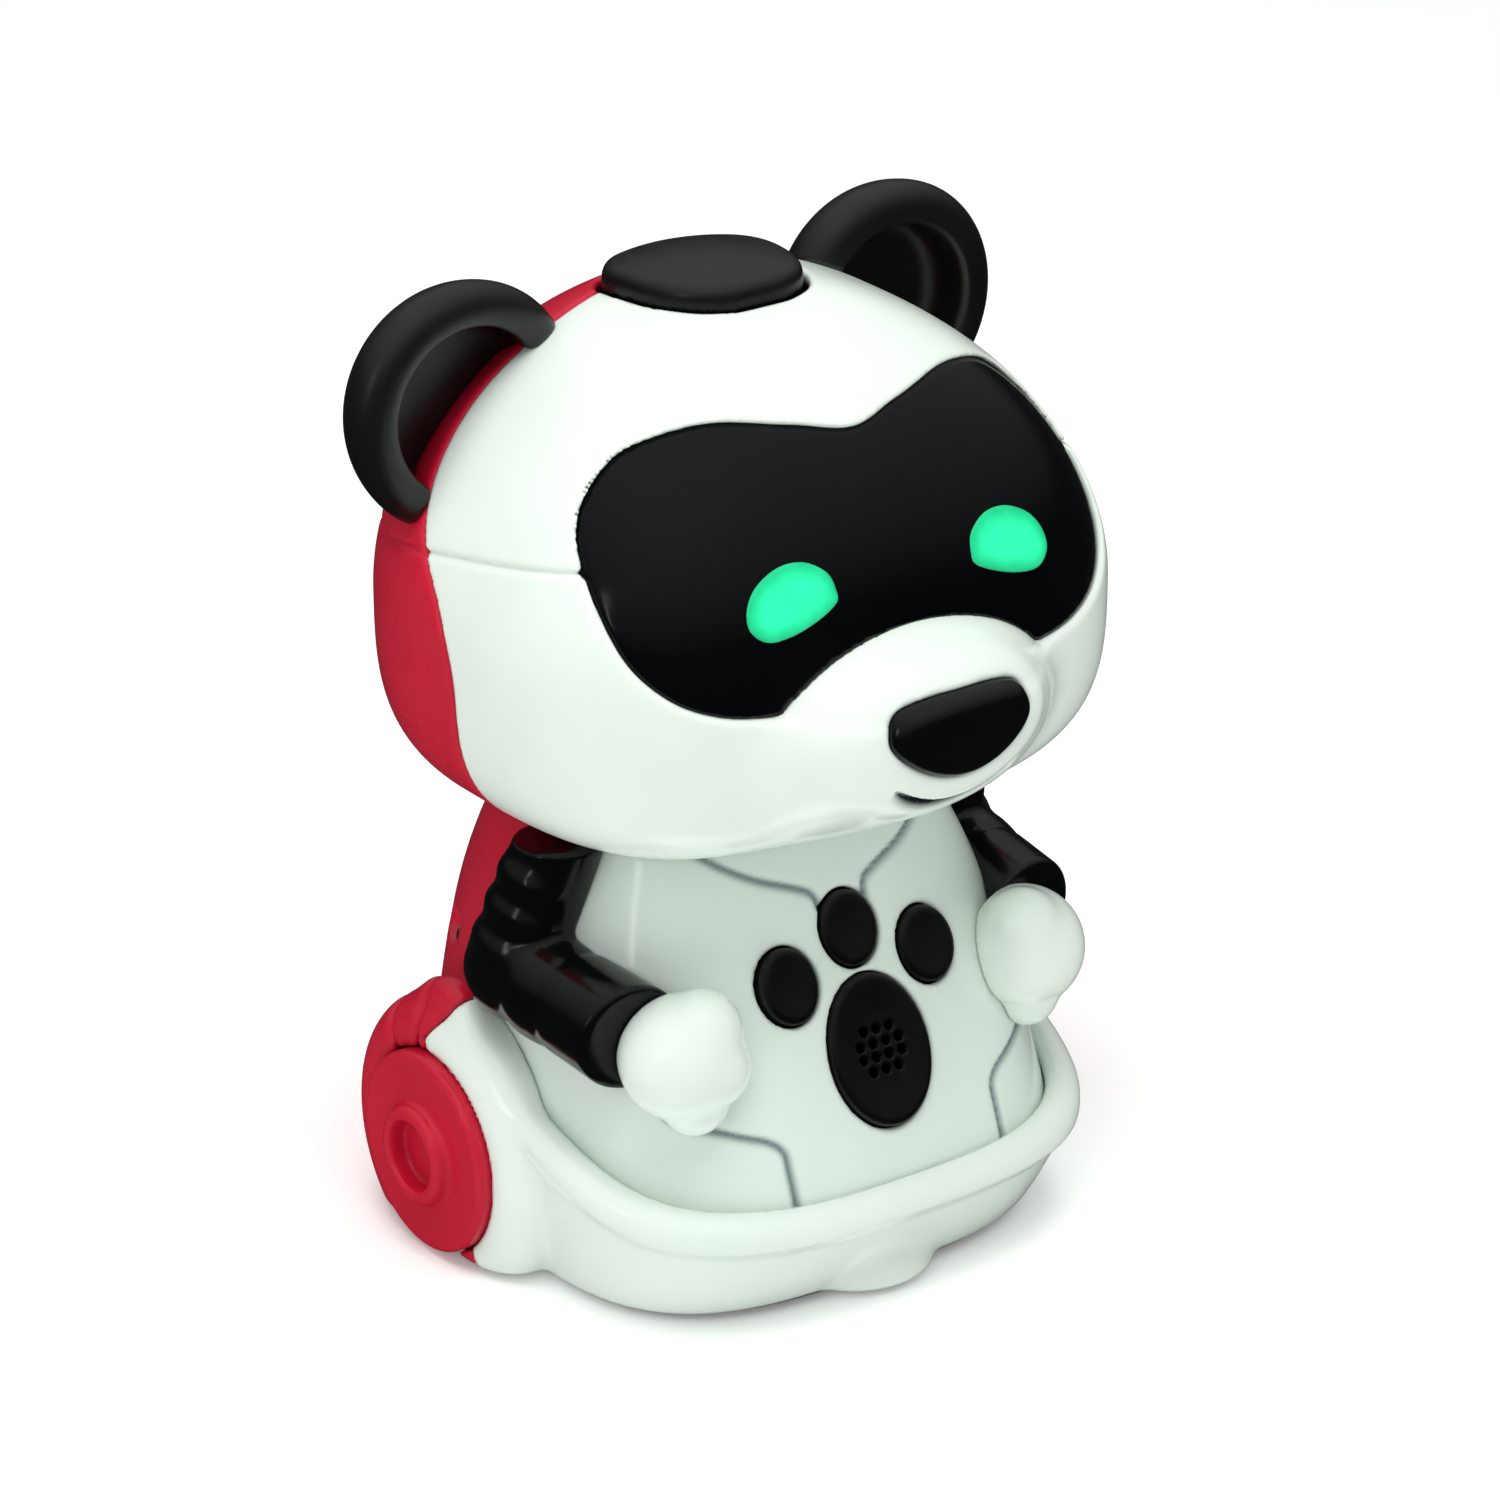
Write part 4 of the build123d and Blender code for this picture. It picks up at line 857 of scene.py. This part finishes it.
for side_name, side in (("left", 1), ("right", -1)):
    eye_low = (10, -46, 112) if side > 0 else (-30, -46, 112)
    eye_high = (30, -36, 131) if side > 0 else (-10, -36, 131)
    carve(f"eye_window_{side_name}", eye(side), eye_low, eye_high, 0.3, SKIN["eye_glow"], "robot",
          [f"eye_{side_name}"],
          eye_shade(side))
    span = sorted((side * 18, side * 62))
    carve(f"ear_cup_{side_name}", ear(side), (span[0], 12, 118), (span[1], 30, 162), 0.5,
          SKIN["black_satin"], "robot", [f"ear_{side_name}"])
    span = sorted((side * 22, side * 58))
    carve(f"sleeve_{side_name}", arm(side), (span[0], -26, 38), (span[1], 16, 75), 0.45,
          SKIN["black_gloss"], "robot", [f"arm_{side_name}"])
    carve(f"fist_{side_name}", hand(side), (span[0], -48, 32), (span[1], -20, 64), 0.4, white,
          "robot", [f"hand_{side_name}"])
    span = sorted((side * 40, side * 55))
    carve(f"wheel_disc_{side_name}", wheel(side), (span[0], -3, -1), (span[1], 33, 35), 0.4, red,
          f"wheel_{side_name}", [f"wheel_{side_name}"])


# ---------------------------------------------------------------- stage
AIM = Vector((0.00477, 0.0055, 0.0755))
CAMERA_AZIMUTH = radians(36.2)
CAMERA_ELEVATION = radians(23.76)
CAMERA_DISTANCE = 0.981
FOCAL = 148.4                         # in millimetres, as is the sensor
SENSOR_WIDTH = 36.0
FLOOR_HALF = 4.0
FLOOR_TONES = ((0.93, 0.94, 0.93), (0.96, 0.97, 0.96))
FLOOR_GLOW = 0.16
AMBIENT = 0.5                         # world strength, except in reflections
SKY_RISE = ((0.1, 0.9), (0.02, 0.75))  # direction's z, and the strength that gloss mirrors there

camera_data = bpy.data.cameras.new("camera")
camera_data.lens = FOCAL
camera_data.sensor_width = SENSOR_WIDTH
camera_data.clip_end = 20.0
camera = bpy.data.objects.new("camera", camera_data)
back = Vector((-sin(CAMERA_AZIMUTH) * cos(CAMERA_ELEVATION),
               -cos(CAMERA_AZIMUTH) * cos(CAMERA_ELEVATION), sin(CAMERA_ELEVATION)))
camera.location = AIM + back * CAMERA_DISTANCE
camera.rotation_euler = back.to_track_quat("Z", "Y").to_euler()
bpy.context.scene.collection.objects.link(camera)
bpy.context.scene.camera = camera

floor_mesh = bpy.data.meshes.new("floor")
floor_mesh.from_pydata([(-FLOOR_HALF, -FLOOR_HALF, 0), (FLOOR_HALF, -FLOOR_HALF, 0),
                        (FLOOR_HALF, FLOOR_HALF, 0), (-FLOOR_HALF, FLOOR_HALF, 0)],
                       [], [(0, 1, 2, 3)])
floor = bpy.data.objects.new("floor", floor_mesh)
floor.visible_glossy = False
paper, paper_tree, paper_shader = nodes_of("paper")
tone = spread(paper_tree, noise(paper_tree, 8.0), 0.0, 1.0)
paper_tree.links.new(mix(paper_tree, tone, *FLOOR_TONES), paper_shader.inputs["Base Color"])
paper_shader.inputs["Roughness"].default_value = 0.9
paper_shader.inputs["Specular IOR Level"].default_value = 0.0
paper_shader.inputs["Emission Color"].default_value = (1.0, 1.0, 1.0, 1.0)
paper_shader.inputs["Emission Strength"].default_value = FLOOR_GLOW
floor_mesh.materials.append(paper)
bpy.context.scene.collection.objects.link(floor)


def softbox(name, place, size, power, gleam):
    """An area light aimed at the robot; gleam says whether gloss mirrors it."""
    data = bpy.data.lights.new(name, "AREA")
    data.shape = "RECTANGLE"
    data.size = size[0]
    data.size_y = size[1]
    data.energy = power
    lamp = bpy.data.objects.new(name, data)
    lamp.location = place
    lamp.rotation_euler = (Vector(place) - AIM).to_track_quat("Z", "Y").to_euler()
    bpy.context.scene.collection.objects.link(lamp)
    lamp.visible_glossy = gleam


softbox("overhead", (-0.15, -0.2, 1.3), (0.9, 0.9), 12.8, False)
softbox("key", (-1.1, -0.7, 0.9), (0.7, 0.7), 2.6, False)
softbox("glint", (-1.2, -0.2, 0.55), (0.1, 0.35), 0.5, True)

world = bpy.data.worlds.new("studio")
world.use_nodes = True
bpy.context.scene.world = world
sky = world.node_tree
sky.nodes.clear()
path = sky.nodes.new("ShaderNodeLightPath")
coords = sky.nodes.new("ShaderNodeTexCoord")
split = sky.nodes.new("ShaderNodeSeparateXYZ")
rise = sky.nodes.new("ShaderNodeMapRange")
for prefix, (least, most) in zip(("From", "To"), SKY_RISE):
    rise.inputs[f"{prefix} Min"].default_value = least
    rise.inputs[f"{prefix} Max"].default_value = most
choose = sky.nodes.new("ShaderNodeMix")
choose.inputs["A"].default_value = AMBIENT
background = sky.nodes.new("ShaderNodeBackground")
background.inputs["Color"].default_value = (0.985, 1.0, 0.99, 1.0)
output = sky.nodes.new("ShaderNodeOutputWorld")
sky.links.new(coords.outputs["Generated"], split.inputs["Vector"])
sky.links.new(split.outputs["Z"], rise.inputs["Value"])
sky.links.new(path.outputs["Is Glossy Ray"], choose.inputs["Factor"])
sky.links.new(rise.outputs["Result"], choose.inputs["B"])
sky.links.new(choose.outputs["Result"], background.inputs["Strength"])
sky.links.new(background.outputs["Background"], output.inputs["Surface"])
bpy.context.scene.view_settings.view_transform = "Standard"
